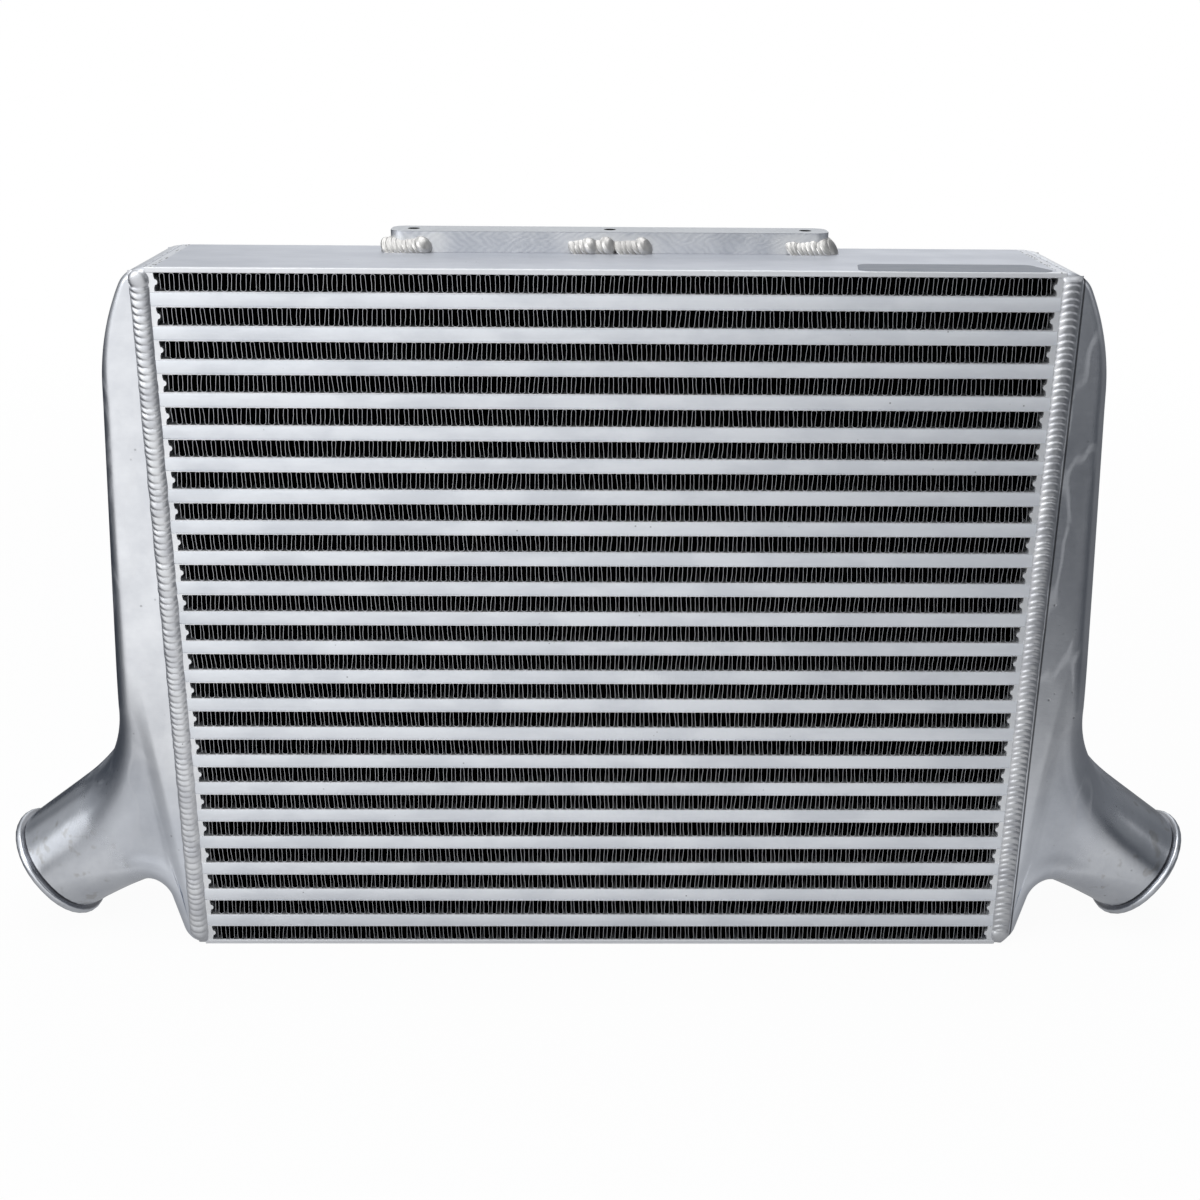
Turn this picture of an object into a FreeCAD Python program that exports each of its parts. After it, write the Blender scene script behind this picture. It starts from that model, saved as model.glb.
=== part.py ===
import FreeCAD, Part
import Sketcher
import math
import os

# Air-to-air intercooler: a brazed bar-and-plate core with two cast end tanks, a mounting bar
# and weld beads. Frame: origin at the bottom centre of the core, +X to the right and +Z up
# when the core is seen from the front, front face towards -Y. All sizes in millimetres.

# Driving sizes

SIZES = (
    ("core_width", 500, "length of the tubes between the two tanks"),
    ("core_depth", 90, "front to rear"),
    ("side_plate_thickness", 3, "plates that close the stack above and below"),
    ("fin_row_count", 23, "rows of outer fins"),
    ("fin_row_height", 10, "gap between two tubes"),
    ("fin_setback", 0.6, "front edge of the fins behind the face of the bars"),
    ("fin_fold_count", 9, "folds of one outer fin row"),
    ("fin_thickness", 0.5, "height of the folded strip along Z"),
    ("sheet_thickness", 0.5, "separator sheets of the tubes"),
    ("tube_bar_height", 7.5, "inner height of a tube"),
    ("tube_bar_depth", 6, "front and rear bars of a tube, front to rear"),
    ("turbulator_fold_count", 2, "folds of the strip inside a tube"),
    ("turbulator_thickness", 0.5, "height of the inner strip along Z"),
    ("side_bar_width", 5, "bars that close a fin row, along X"),
    ("tank_wall", 3.5, "wall of the castings"),
    ("cap_radius", 17, "first arc of the tank's cap"),
    ("cap_turn", 64, "angle of that arc, degrees"),
    ("crown_radius", 150, "second, wider arc of the cap"),
    ("tank_flare", 3.32, "outward lean of the tank's back, degrees"),
    ("tank_edge", 4, "bevel along the tank's outer edges"),
    ("tank_throat", 90, "radius between the tank's back and the outlet"),
    ("foot_sole", 10.5, "foot of the tank outside the core's side, at its base"),
    ("foot_lean", 17, "outward lean of the foot, degrees"),
    ("foot_round", 14, "radius under the foot"),
    ("foot_arch", 12, "radius between foot and outlet"),
    ("outlet_radius", 35, "outside of the hose stub"),
    ("outlet_reach", 102.5, "centre of the rim outside the core's side"),
    ("outlet_height", 33, "centre of the rim above the core's base"),
    ("outlet_tilt", 36, "fall of the outlet below the horizontal, degrees"),
    ("outlet_straight", 20, "round stretch before the rim"),
    ("outlet_margin", 2, "straight stretch between throat or arch and the part that turns round"),
    ("lip_height", 3, "rolled lip above the surface of the stub"),
    ("lip_width", 5, "width of the lip along the stub"),
    ("bar_length", 254, "mounting bar along X"),
    ("bar_depth", 24, "mounting bar, front to rear"),
    ("bar_height", 12, "mounting bar above the top plate"),
    ("bar_shift", 2.5, "bar's centre to the right of the core's centre"),
    ("bar_setback", 2.5, "bar's rear face in front of the core's rear face"),
    ("bar_corner", 8, "rounded ends of the bar"),
    ("bar_hole_radius", 3.4, "tapped holes, core of an M8 thread"),
    ("bar_hole_count", 3, "holes in a row"),
    ("bar_hole_inset", 13, "centre of an outer hole inside the bar's end"),
    ("seam_width", 11.5, "weld bead between tank and core"),
    ("seam_height", 2.4, "crown of that bead"),
    ("seam_overlap", 2.6, "part of the bead's width that lies on the core"),
    ("seam_margin", 1, "ends of the bead inside the core's corners"),
    ("bead_radius", 6.5, "weld beads at the foot of the mounting bar"),
    ("bead_end_run", 30, "length of the front bead at each end of the bar"),
    ("bead_end_wrap", 5, "how far that bead reaches past the bar's end"),
    ("bead_middle_start", -23, "left end of the middle beads from the bar's centre"),
    ("bead_middle_length", 26, "length of the left middle bead"),
    ("bead_middle_gap", 1, "gap between the two middle beads"),
    ("bead_second_length", 20, "length of the right middle bead"),
)

doc = FreeCAD.newDocument("intercooler")
sheet = doc.addObject("Spreadsheet::Sheet", "sizes")
for line, (alias, value, note) in enumerate(SIZES, start=1):
    sheet.set(f"A{line}", note)
    sheet.set(f"B{line}", str(value))
    sheet.setAlias(f"B{line}", alias)
doc.recompute()


def size(alias):
    """Value of one cell of the sheet."""
    return float(getattr(sheet, alias))


# Expressions that several pieces share

HALF_WIDTH = "sizes.core_width / 2"
HALF_DEPTH = "sizes.core_depth / 2"
TUBE_HEIGHT = "(sizes.tube_bar_height + 2 * sizes.sheet_thickness)"
PITCH = f"(sizes.fin_row_height + {TUBE_HEIGHT})"
TUBE_COUNT = "(sizes.fin_row_count - 1)"
FIRST_ROW = "sizes.side_plate_thickness"
FIRST_TUBE = f"({FIRST_ROW} + sizes.fin_row_height)"
CORE_HEIGHT = f"({FIRST_TUBE} + {TUBE_COUNT} * {PITCH} + sizes.side_plate_thickness)"
FIN_HALF_RUN = f"({HALF_WIDTH} - sizes.side_bar_width)"
TURBULATOR_HALF_RUN = f"({HALF_DEPTH} - sizes.tube_bar_depth)"
BAR_FRONT = f"({HALF_DEPTH} - sizes.bar_setback - sizes.bar_depth)"
BAR_CENTRE = f"({BAR_FRONT} + sizes.bar_depth / 2)"
BAR_HOLE_STEP = "((sizes.bar_length - 2 * sizes.bar_hole_inset) / (sizes.bar_hole_count - 1))"


def value_of(term):
    """Number that an expression gives."""
    return float(probe.evalExpression(term))


probe = doc.addObject("App::FeaturePython", "expressions")
fin_row_count = int(size("fin_row_count"))
core_height = value_of(CORE_HEIGHT)
half_width = value_of(HALF_WIDTH)
half_depth = value_of(HALF_DEPTH)

# Helpers


def new_body(label):
    """An empty body with its own label; it may hold several separate solids."""
    body = doc.addObject("PartDesign::Body", label)
    body.Label = label
    body.AllowCompound = True
    return body


def new_sketch(body, role):
    """An empty sketch on the origin plane of its body that has this role."""
    sketch = body.newObject("Sketcher::SketchObject", body.Label + "_outline")
    plane = next(item for item in body.Origin.OriginFeatures if item.Role == role)
    sketch.AttachmentSupport = (plane, [""])
    sketch.MapMode = "FlatFace"
    return sketch


def bind_point(sketch, line, point):
    """Hold the start of a line, or the centre of a circle, at two expressions."""
    position = 1 if sketch.Geometry[line].TypeId == "Part::GeomLineSegment" else 3
    for kind, term in zip(("DistanceX", "DistanceY"), point):
        number = sketch.addConstraint(Sketcher.Constraint(kind, -1, 1, line, position, value_of(term)))
        sketch.setExpression(f"Constraints[{number}]", term)


def draw_polygon(sketch, points):
    """Closed outline with corners at pairs of expressions."""
    corners = [FreeCAD.Vector(value_of(across), value_of(along), 0) for across, along in points]
    first = sketch.GeometryCount
    for here, there in zip(corners, corners[1:] + corners[:1]):
        sketch.addGeometry(Part.LineSegment(here, there))
    for index, point in enumerate(points):
        following = first + (index + 1) % len(points)
        sketch.addConstraint(Sketcher.Constraint("Coincident", first + index, 2, following, 1))
        bind_point(sketch, first + index, point)


def rectangle(left, right, low, high):
    """Corners of an upright rectangle given by four expressions."""
    return ((left, low), (right, low), (right, high), (left, high))


def draw_circle(sketch, centre, radius):
    """Circle with its centre at a pair of expressions."""
    middle = FreeCAD.Vector(value_of(centre[0]), value_of(centre[1]), 0)
    index = sketch.addGeometry(Part.Circle(middle, FreeCAD.Vector(0, 0, 1), value_of(radius)))
    bind_point(sketch, index, centre)
    number = sketch.addConstraint(Sketcher.Constraint("Radius", index, value_of(radius)))
    sketch.setExpression(f"Constraints[{number}]", radius)


def pad(body, sketch, length, side="One side"):
    """Solid of the sketch's outline; the length is an expression."""
    feature = body.newObject("PartDesign::Pad", body.Label + "_pad")
    feature.Profile = sketch
    feature.SideType = side
    feature.setExpression("Length", length)
    body.Tip = feature
    doc.recompute()
    return feature


def repeat(body, feature, axis, step, count):
    """Copies of a feature at an even step along an axis of the sketch."""
    pattern = body.newObject("PartDesign::LinearPattern", body.Label + "_pattern")
    pattern.Originals = [feature]
    pattern.Direction = (body.Group[0], [axis])
    pattern.setExpression("Length", f"{step} * ({count} - 1)")
    pattern.setExpression("Occurrences", count)
    body.Tip = pattern
    return pattern


def place(piece, along_x="0", along_y="0", along_z="0"):
    """Bind the place of a piece to three expressions."""
    for axis, term in zip("xyz", (along_x, along_y, along_z)):
        piece.setExpression(f"Placement.Base.{axis}", term)


# Core: side plates, tubes and fins


def side_plate(label, height):
    """Flat plate that closes the stack."""
    body = new_body(label)
    sketch = new_sketch(body, "XY_Plane")
    draw_polygon(sketch, rectangle(f"-{HALF_WIDTH}", HALF_WIDTH, f"-{HALF_DEPTH}", HALF_DEPTH))
    pad(body, sketch, "sizes.side_plate_thickness")
    place(body, along_z=height)
    return body


def tube_sheets():
    """Separator sheets, two to a tube."""
    body = new_body("tube_plates")
    sketch = new_sketch(body, "XZ_Plane")
    upper = "sizes.sheet_thickness + sizes.tube_bar_height"
    draw_polygon(sketch, rectangle(f"-{HALF_WIDTH}", HALF_WIDTH, "0", "sizes.sheet_thickness"))
    draw_polygon(sketch, rectangle(f"-{HALF_WIDTH}", HALF_WIDTH, upper, TUBE_HEIGHT))
    sheets = pad(body, sketch, "sizes.core_depth", "Symmetric")
    repeat(body, sheets, "V_Axis", PITCH, TUBE_COUNT)
    place(body, along_z=FIRST_TUBE)
    return body


def tube_bars(label, centre_y):
    """Bars that close the tubes along the front or the rear face."""
    body = new_body(label)
    sketch = new_sketch(body, "XZ_Plane")
    top = "sizes.sheet_thickness + sizes.tube_bar_height"
    draw_polygon(sketch, rectangle(f"-{HALF_WIDTH}", HALF_WIDTH, "sizes.sheet_thickness", top))
    bar = pad(body, sketch, "sizes.tube_bar_depth", "Symmetric")
    repeat(body, bar, "V_Axis", PITCH, TUBE_COUNT)
    place(body, along_y=centre_y, along_z=FIRST_TUBE)
    return body


def side_bars(label, side):
    """Bars that close the fin rows at one end of the core."""
    body = new_body(label)
    sketch = new_sketch(body, "XZ_Plane")
    outer = f"{side} * {HALF_WIDTH}"
    inner = f"{side} * {FIN_HALF_RUN}"
    draw_polygon(sketch, rectangle(outer, inner, "0", "sizes.fin_row_height"))
    bar = pad(body, sketch, "sizes.core_depth", "Symmetric")
    repeat(body, bar, "V_Axis", PITCH, "sizes.fin_row_count")
    place(body, along_z=FIRST_ROW)
    return body


def folded_strip(label, role, half_run, folds, height, thickness, depth, level):
    """Zigzag strip: one fold, padded and repeated along the row."""
    body = new_body(label)
    sketch = new_sketch(body, role)
    fold = f"(2 * {half_run} / {folds})"
    start = f"-{half_run}"
    crest = f"{start} + {fold} / 2"
    end = f"{start} + {fold}"
    under = f"{height} - {thickness}"
    points = ((start, "0"), (crest, under), (end, "0"), (end, thickness), (crest, height), (start, thickness))
    draw_polygon(sketch, points)
    strip = pad(body, sketch, depth, "Symmetric")
    repeat(body, strip, "H_Axis", fold, folds)
    place(body, along_z=level)
    return body


def outer_fin(row):
    """Folded fin between two tubes; the air passes from front to rear."""
    level = f"{FIRST_ROW} + {row} * {PITCH}"
    depth = "sizes.core_depth - 2 * sizes.fin_setback"
    return folded_strip(f"outer_fin_{row + 1:02d}", "XZ_Plane", FIN_HALF_RUN, "sizes.fin_fold_count",
                        "sizes.fin_row_height", "sizes.fin_thickness", depth, level)


def turbulator(tube):
    """Folded strip inside a tube; the charge air passes from tank to tank."""
    level = f"{FIRST_TUBE} + sizes.sheet_thickness + {tube} * {PITCH}"
    return folded_strip(f"turbulator_{tube + 1:02d}", "YZ_Plane", TURBULATOR_HALF_RUN,
                        "sizes.turbulator_fold_count", "sizes.tube_bar_height",
                        "sizes.turbulator_thickness", "sizes.core_width", level)


pieces = [
    side_plate("bottom_side_plate", "0"),
    side_plate("top_side_plate", f"{CORE_HEIGHT} - sizes.side_plate_thickness"),
    tube_sheets(),
    tube_bars("front_tube_bars", f"-{HALF_DEPTH} + sizes.tube_bar_depth / 2"),
    tube_bars("rear_tube_bars", f"{HALF_DEPTH} - sizes.tube_bar_depth / 2"),
    side_bars("left_side_bars", -1),
    side_bars("right_side_bars", 1),
]
pieces += [outer_fin(row) for row in range(fin_row_count)]
pieces += [turbulator(tube) for tube in range(fin_row_count - 1)]

# End tanks: a flat-sided casting that narrows to a round outlet

RIGHT_ANGLE = 90


def unit(angle):
    """Direction in the XZ plane, in degrees above +X."""
    radians = math.radians(angle)
    return FreeCAD.Vector(math.cos(radians), 0, math.sin(radians))


def crossing(start, direction, other_start, other_direction):
    """Point where two lines in the XZ plane cross."""
    gap = other_start - start
    spread = direction.x * other_direction.z - direction.z * other_direction.x
    travel = (gap.x * other_direction.z - gap.z * other_direction.x) / spread
    return start + direction * travel


def rounded_corner(before, corner, after, radius):
    """Start, middle and end of the arc that rounds a corner."""
    back = (before - corner).normalize()
    ahead = (after - corner).normalize()
    half_angle = back.getAngle(ahead) / 2
    reach = radius / math.tan(half_angle)
    inward = (back + ahead).normalize()
    middle = corner + inward * (radius / math.sin(half_angle) - radius)
    return corner + back * reach, middle, corner + ahead * reach


def straight(start, end):
    """Edge between two points."""
    return Part.LineSegment(start, end).toShape()


def curved(start, middle, end):
    """Circular edge through three points."""
    return Part.Arc(start, middle, end).toShape()


class TankForm:
    """Solid of the right-hand tank with its surface moved inward by a distance.

    The outline lies in the XZ plane: a rounded cap, a back that leans out, a throat down to the
    outlet, the outlet's underside, an arch and a foot that comes back to the core's base.
    """

    def __init__(self, inward):
        self.inward = inward
        self.side = half_depth - inward
        self.radius = size("outlet_radius") - inward
        self.axis = unit(-size("outlet_tilt"))
        self.up = unit(RIGHT_ANGLE - size("outlet_tilt"))
        self.rim = FreeCAD.Vector(half_width + size("outlet_reach"), 0, size("outlet_height"))
        self.rim_high = self.rim + self.up * self.radius
        self.rim_low = self.rim - self.up * self.radius
        self.rear = half_width - 2 * size("cap_radius")
        self.throat = self.throat_arc()
        self.arch, self.toe = self.foot_arcs()
        curve_ends = [(point - self.rim).dot(self.axis) for point in (self.throat[2], self.arch[0])]
        self.blend_start = self.rim + self.axis * (max(curve_ends) + size("outlet_margin"))
        self.round_start = self.rim - self.axis * size("outlet_straight")

    def throat_arc(self):
        """Start, middle and end of the arc between the back and the outlet."""
        cap_end = self.cap()[2]
        back_direction = unit(size("tank_flare") - RIGHT_ANGLE)
        shoulder = crossing(cap_end, back_direction, self.rim_high, self.axis)
        return rounded_corner(cap_end, shoulder, self.rim_high, size("tank_throat") + self.inward)

    def foot_arcs(self):
        """The arc between outlet and foot, and the arc under the foot."""
        shin = unit(RIGHT_ANGLE - size("foot_lean"))
        heel_shift = self.inward * math.tan(math.radians(RIGHT_ANGLE - size("foot_lean")) / 2)
        sole = FreeCAD.Vector(half_width + size("foot_sole") - heel_shift, 0, self.inward)
        notch = crossing(sole, shin, self.rim_low, self.axis)
        core_side = FreeCAD.Vector(self.rear, 0, self.inward)
        arch = rounded_corner(self.rim_low, notch, sole, size("foot_arch") + self.inward)
        return arch, rounded_corner(notch, sole, core_side, size("foot_round") - self.inward)

    def cap(self):
        """Edges of the cap: a tight arc, then a wide one that runs out into the back."""
        tight = size("cap_radius")
        wide = size("crown_radius")
        turn = RIGHT_ANGLE - size("cap_turn")
        tight_centre = FreeCAD.Vector(half_width, 0, core_height - tight)
        wide_centre = tight_centre - unit(turn) * (wide - tight)
        lean = size("tank_flare")
        top = tight_centre + unit(RIGHT_ANGLE) * (tight - self.inward)
        join = tight_centre + unit(turn) * (tight - self.inward)
        end = wide_centre + unit(lean) * (wide - self.inward)
        tight_middle = tight_centre + unit((RIGHT_ANGLE + turn) / 2) * (tight - self.inward)
        wide_middle = wide_centre + unit((turn + lean) / 2) * (wide - self.inward)
        return [curved(top, tight_middle, join), curved(join, wide_middle, end)], top, end

    def outline(self):
        """Closed outline in the XZ plane, cut off square where the outlet begins to round."""
        cap_edges, top, cap_end = self.cap()
        high = self.blend_start + self.up * self.radius
        low = self.blend_start - self.up * self.radius
        corner_low = FreeCAD.Vector(self.rear, 0, self.inward)
        corner_high = FreeCAD.Vector(self.rear, 0, core_height - self.inward)
        edges = [straight(corner_high, top)] + cap_edges
        edges += [straight(cap_end, self.throat[0]), curved(*self.throat)]
        edges += [straight(self.throat[2], high), straight(high, low)]
        edges += [straight(low, self.arch[0]), curved(*self.arch)]
        edges += [straight(self.arch[2], self.toe[0]), curved(*self.toe)]
        edges.append(straight(self.toe[2], corner_low))
        edges.append(straight(corner_low, corner_high))
        return Part.Wire(edges)

    def slab(self, bevel):
        """The outline across the full depth, with its outer edges bevelled."""
        face = Part.Face(self.outline())
        face.translate(FreeCAD.Vector(0, -self.side, 0))
        solid = face.extrude(FreeCAD.Vector(0, 2 * self.side, 0))
        if not bevel:
            return solid
        edges = []
        for edge in solid.Edges:
            middle = edge.valueAt((edge.FirstParameter + edge.LastParameter) / 2)
            across = edge.BoundBox.YLength > 0.01
            on_cut = abs((middle - self.blend_start).dot(self.axis)) < 0.01
            if not across and not on_cut and middle.x > self.rear + 0.01:
                edges.append(edge)
        return solid.makeChamfer(bevel, edges)

    def blend(self, bevel):
        """From the flat-sided section to the round one: a cone trimmed by four planes."""
        length = (self.round_start - self.blend_start).dot(self.axis)
        wide = math.hypot(self.radius, self.side) - bevel / math.sqrt(2)
        cone = Part.makeCone(wide, self.radius, length, self.blend_start, self.axis)
        corners = []
        for centre, half in ((self.blend_start, self.side), (self.round_start, self.radius)):
            for side in (-half, half):
                corners.append(centre - self.up * self.radius + FreeCAD.Vector(0, side, 0))
        plan = Part.makePolygon([corners[0], corners[1], corners[3], corners[2], corners[0]])
        return cone.common(Part.Face(plan).extrude(self.up * (2 * self.radius)))

    def stub(self, extra):
        """Round end of the outlet, reaching an extra length past the rim."""
        return Part.makeCylinder(self.radius, size("outlet_straight") + extra, self.round_start, self.axis)

    def solid(self, bevel, extra):
        """Slab, blend and stub as one solid."""
        return self.slab(bevel).fuse([self.blend(bevel), self.stub(extra)])


def tank_casting():
    """The casting with its rolled lip, open towards the core and at the rim."""
    outside = TankForm(0)
    lip_start = outside.rim - outside.axis * size("lip_width")
    lip_radius = outside.radius + size("lip_height")
    lip = Part.makeCylinder(lip_radius, size("lip_width"), lip_start, outside.axis)
    inside = TankForm(size("tank_wall")).solid(0, 1)
    room = 2 * outside.rim.x
    core_room = Part.makeBox(room, room, room, FreeCAD.Vector(half_width - room, -room / 2, -room / 4))
    return outside.solid(size("tank_edge"), 0).fuse(lip).cut([inside, core_room]).removeSplitter()


right_tank = doc.addObject("Part::Feature", "right_end_tank")
right_tank.Label = "right_end_tank"
right_tank.Shape = tank_casting()
right_tank.Placement = FreeCAD.Placement()


def mirror_image(source, label):
    """Left-hand twin of a right-hand piece."""
    twin = doc.addObject("Part::Mirroring", label)
    twin.Label = label
    twin.Source = source
    twin.Normal = FreeCAD.Vector(1, 0, 0)
    return twin


pieces += [right_tank, mirror_image(right_tank, "left_end_tank")]

# Mounting bar with its tapped holes


def mounting_bar():
    """Bar along the rear edge of the top plate, three upright holes, rounded ends."""
    body = new_body("mounting_bar")
    sketch = new_sketch(body, "XY_Plane")
    half = "sizes.bar_length / 2"
    draw_polygon(sketch, rectangle(f"-{half}", half, "-sizes.bar_depth / 2", "sizes.bar_depth / 2"))
    block = pad(body, sketch, "sizes.bar_height")
    upright = [f"Edge{index}" for index, edge in enumerate(block.Shape.Edges, start=1)
               if edge.BoundBox.ZLength > size("bar_height") / 2]
    ends = body.newObject("PartDesign::Fillet", "bar_ends")
    ends.Base = (block, upright)
    ends.setExpression("Radius", "sizes.bar_corner")
    body.Tip = ends
    doc.recompute()
    hole_sketch = body.newObject("Sketcher::SketchObject", "bar_hole_outline")
    hole_sketch.AttachmentSupport = sketch.AttachmentSupport
    hole_sketch.MapMode = "FlatFace"
    first = "sizes.bar_hole_inset - sizes.bar_length / 2"
    draw_circle(hole_sketch, (first, "0"), "sizes.bar_hole_radius")
    hole = body.newObject("PartDesign::Pocket", "bar_hole")
    hole.Profile = hole_sketch
    hole.Type = "ThroughAll"
    hole.Reversed = True
    body.Tip = hole
    doc.recompute()
    repeat(body, hole, "H_Axis", BAR_HOLE_STEP, "sizes.bar_hole_count")
    place(body, "sizes.bar_shift", BAR_CENTRE, CORE_HEIGHT)
    return body


bar = mounting_bar()
pieces.append(bar)

# Weld beads


def primitive(kind, label, expressions):
    """Part primitive with its sizes and place bound to expressions."""
    item = doc.addObject(f"Part::{kind}", label)
    for name, term in expressions.items():
        item.setExpression(name, term)
    return item


def fused(label, shapes):
    """Union of several objects."""
    item = doc.addObject("Part::MultiFuse", label)
    item.Shapes = shapes
    return item


def cut_from(label, base, tool):
    """What is left of a solid outside another."""
    item = doc.addObject("Part::Cut", label)
    item.Base = base
    item.Tool = tool
    return item


SEAM_ROUND = ("((sizes.seam_width / 2) ^ 2 + sizes.seam_height ^ 2) / (2 * sizes.seam_height)")
SEAM_X = f"{HALF_WIDTH} - sizes.seam_overlap + sizes.seam_width / 2"


def seam(label, side):
    """Long bead along one corner of the core: a rod sunk behind the face."""
    low = "sizes.seam_margin"
    rod = primitive("Cylinder", label + "_rod", {
        "Radius": SEAM_ROUND,
        "Height": f"{CORE_HEIGHT} - 2 * {low}",
        "Placement.Base.x": SEAM_X,
        "Placement.Base.y": f"{side} * ({HALF_DEPTH} + sizes.seam_height - {SEAM_ROUND})",
        "Placement.Base.z": low,
    })
    buried = primitive("Box", label + "_buried", {
        "Length": f"4 * {SEAM_ROUND}",
        "Width": "sizes.core_depth",
        "Height": CORE_HEIGHT,
        "Placement.Base.x": f"{SEAM_X} - 2 * {SEAM_ROUND}",
        "Placement.Base.y": f"-{HALF_DEPTH}",
    })
    return cut_from(label, rod, buried)


right_seams = doc.addObject("Part::Compound", "right_tank_weld")
right_seams.Label = "right_tank_weld"
right_seams.Links = [seam("front_seam", -1), seam("rear_seam", 1)]
pieces += [right_seams, mirror_image(right_seams, "left_tank_weld")]


BAR_LEFT = "(sizes.bar_shift - sizes.bar_length / 2)"
BAR_RIGHT = "(sizes.bar_shift + sizes.bar_length / 2)"


def bar_rod(label, start, length, direction):
    """Rod along a lower edge of the mounting bar, from its start along one direction."""
    rod = primitive("Cylinder", label, {
        "Radius": "sizes.bead_radius",
        "Height": length,
        "Placement.Base.x": start,
        "Placement.Base.y": BAR_FRONT,
        "Placement.Base.z": CORE_HEIGHT,
    })
    rod.Placement.Rotation = FreeCAD.Rotation(FreeCAD.Vector(0, 0, 1), direction)
    return rod


def end_cluster(label, corner, run_start):
    """Beads along the front and the end of the bar that meet at its corner."""
    to_right = FreeCAD.Vector(1, 0, 0)
    to_rear = FreeCAD.Vector(0, 1, 0)
    front = bar_rod(label + "_front", run_start, "sizes.bead_end_run", to_right)
    side = bar_rod(label + "_side", corner, "sizes.bar_depth", to_rear)
    return fused(label + "_whole", [front, side])


middle_start = "(sizes.bar_shift + sizes.bead_middle_start)"
second_start = f"({middle_start} + sizes.bead_middle_length + sizes.bead_middle_gap)"
along_bar = FreeCAD.Vector(1, 0, 0)
runs = [
    end_cluster("left_cluster", BAR_LEFT, f"{BAR_LEFT} - sizes.bead_end_wrap"),
    bar_rod("middle_rod", middle_start, "sizes.bead_middle_length", along_bar),
    bar_rod("second_rod", second_start, "sizes.bead_second_length", along_bar),
    end_cluster("right_cluster", BAR_RIGHT, f"{BAR_RIGHT} + sizes.bead_end_wrap - sizes.bead_end_run"),
]
plate_room = primitive("Box", "plate_room", {
    "Length": "sizes.core_width",
    "Width": "sizes.core_depth",
    "Height": CORE_HEIGHT,
    "Placement.Base.x": f"-{HALF_WIDTH}",
    "Placement.Base.y": f"-{HALF_DEPTH}",
})
taken = fused("taken_room", [plate_room, bar])
bar_welds = doc.addObject("Part::Compound", "mounting_bar_welds")
bar_welds.Label = "mounting_bar_welds"
bar_welds.Links = [cut_from(f"{run.Label}_bead", run, taken) for run in runs]
pieces.append(bar_welds)

# Check and write

doc.recompute()
for item in doc.Objects:
    if {"Invalid", "Error"} & set(item.State):
        raise RuntimeError(f"{item.Label} could not be built: {item.State}")
for piece in pieces:
    if piece.Shape.isNull() or not piece.Shape.isValid():
        raise RuntimeError(f"{piece.Label} has no valid shape")
os.makedirs("parts", exist_ok=True)
for piece in pieces:
    piece.Shape.exportStep(f"parts/{piece.Label}.step")
print(f"{len(pieces)} nodes, core height {core_height:.1f} mm")
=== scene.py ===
"""Dressed model of a bar-and-plate intercooler with two cast end tanks."""

import logging
import math
from dataclasses import dataclass
from enum import Enum

import bmesh
import bpy
import numpy as np
from mathutils import Matrix, Vector


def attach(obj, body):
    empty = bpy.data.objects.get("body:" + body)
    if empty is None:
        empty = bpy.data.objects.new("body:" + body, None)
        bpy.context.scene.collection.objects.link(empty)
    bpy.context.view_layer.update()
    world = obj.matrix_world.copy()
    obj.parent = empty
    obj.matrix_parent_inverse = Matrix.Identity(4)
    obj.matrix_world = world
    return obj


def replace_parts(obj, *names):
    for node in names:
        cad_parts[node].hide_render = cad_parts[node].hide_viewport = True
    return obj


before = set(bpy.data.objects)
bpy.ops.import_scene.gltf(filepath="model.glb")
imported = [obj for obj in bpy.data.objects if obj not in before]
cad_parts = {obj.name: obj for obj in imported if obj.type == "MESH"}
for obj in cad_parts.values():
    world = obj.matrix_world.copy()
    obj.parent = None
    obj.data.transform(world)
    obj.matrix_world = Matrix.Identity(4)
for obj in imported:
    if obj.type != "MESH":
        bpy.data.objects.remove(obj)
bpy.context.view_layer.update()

LOG = logging.getLogger("intercooler")
MM = 0.001
BODY = "root"
HALF_WIDTH, HALF_DEPTH, CORE_HEIGHT = 250.0, 45.0, 423.0  # of the core, in millimetres
BAR_CENTRE, BAR_SPACING, BAR_HEIGHT = (2.5, 30.5), 114.0, 12.0  # mounting bar and its holes
TOP_FACE = (0.4224, 0.4229)  # heights in metres between which the top face starts
WHITE = (1.0, 1.0, 1.0, 1.0)
BLUE = (0.0, 0.35, 1.0, 1.0)  # tint of the darkest reflections
BLUE_STRENGTH = 0.018
SKY = (0.97, 0.985, 1.0, 1.0)
Pair = tuple[float, float]
Triple = tuple[float, float, float]
Points = np.ndarray


class Way(Enum):
    """A side of the object, as the sign of an axis."""

    @property
    def word(self) -> str:
        """Word that starts the names of this side's nodes."""
        return self.name.lower()


class Side(Way):
    """Left or right end, as the sign of X."""

    LEFT = -1
    RIGHT = 1


class Face(Way):
    """Front or rear face, as the sign of Y."""

    FRONT = -1
    REAR = 1


# Shader maths


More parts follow.
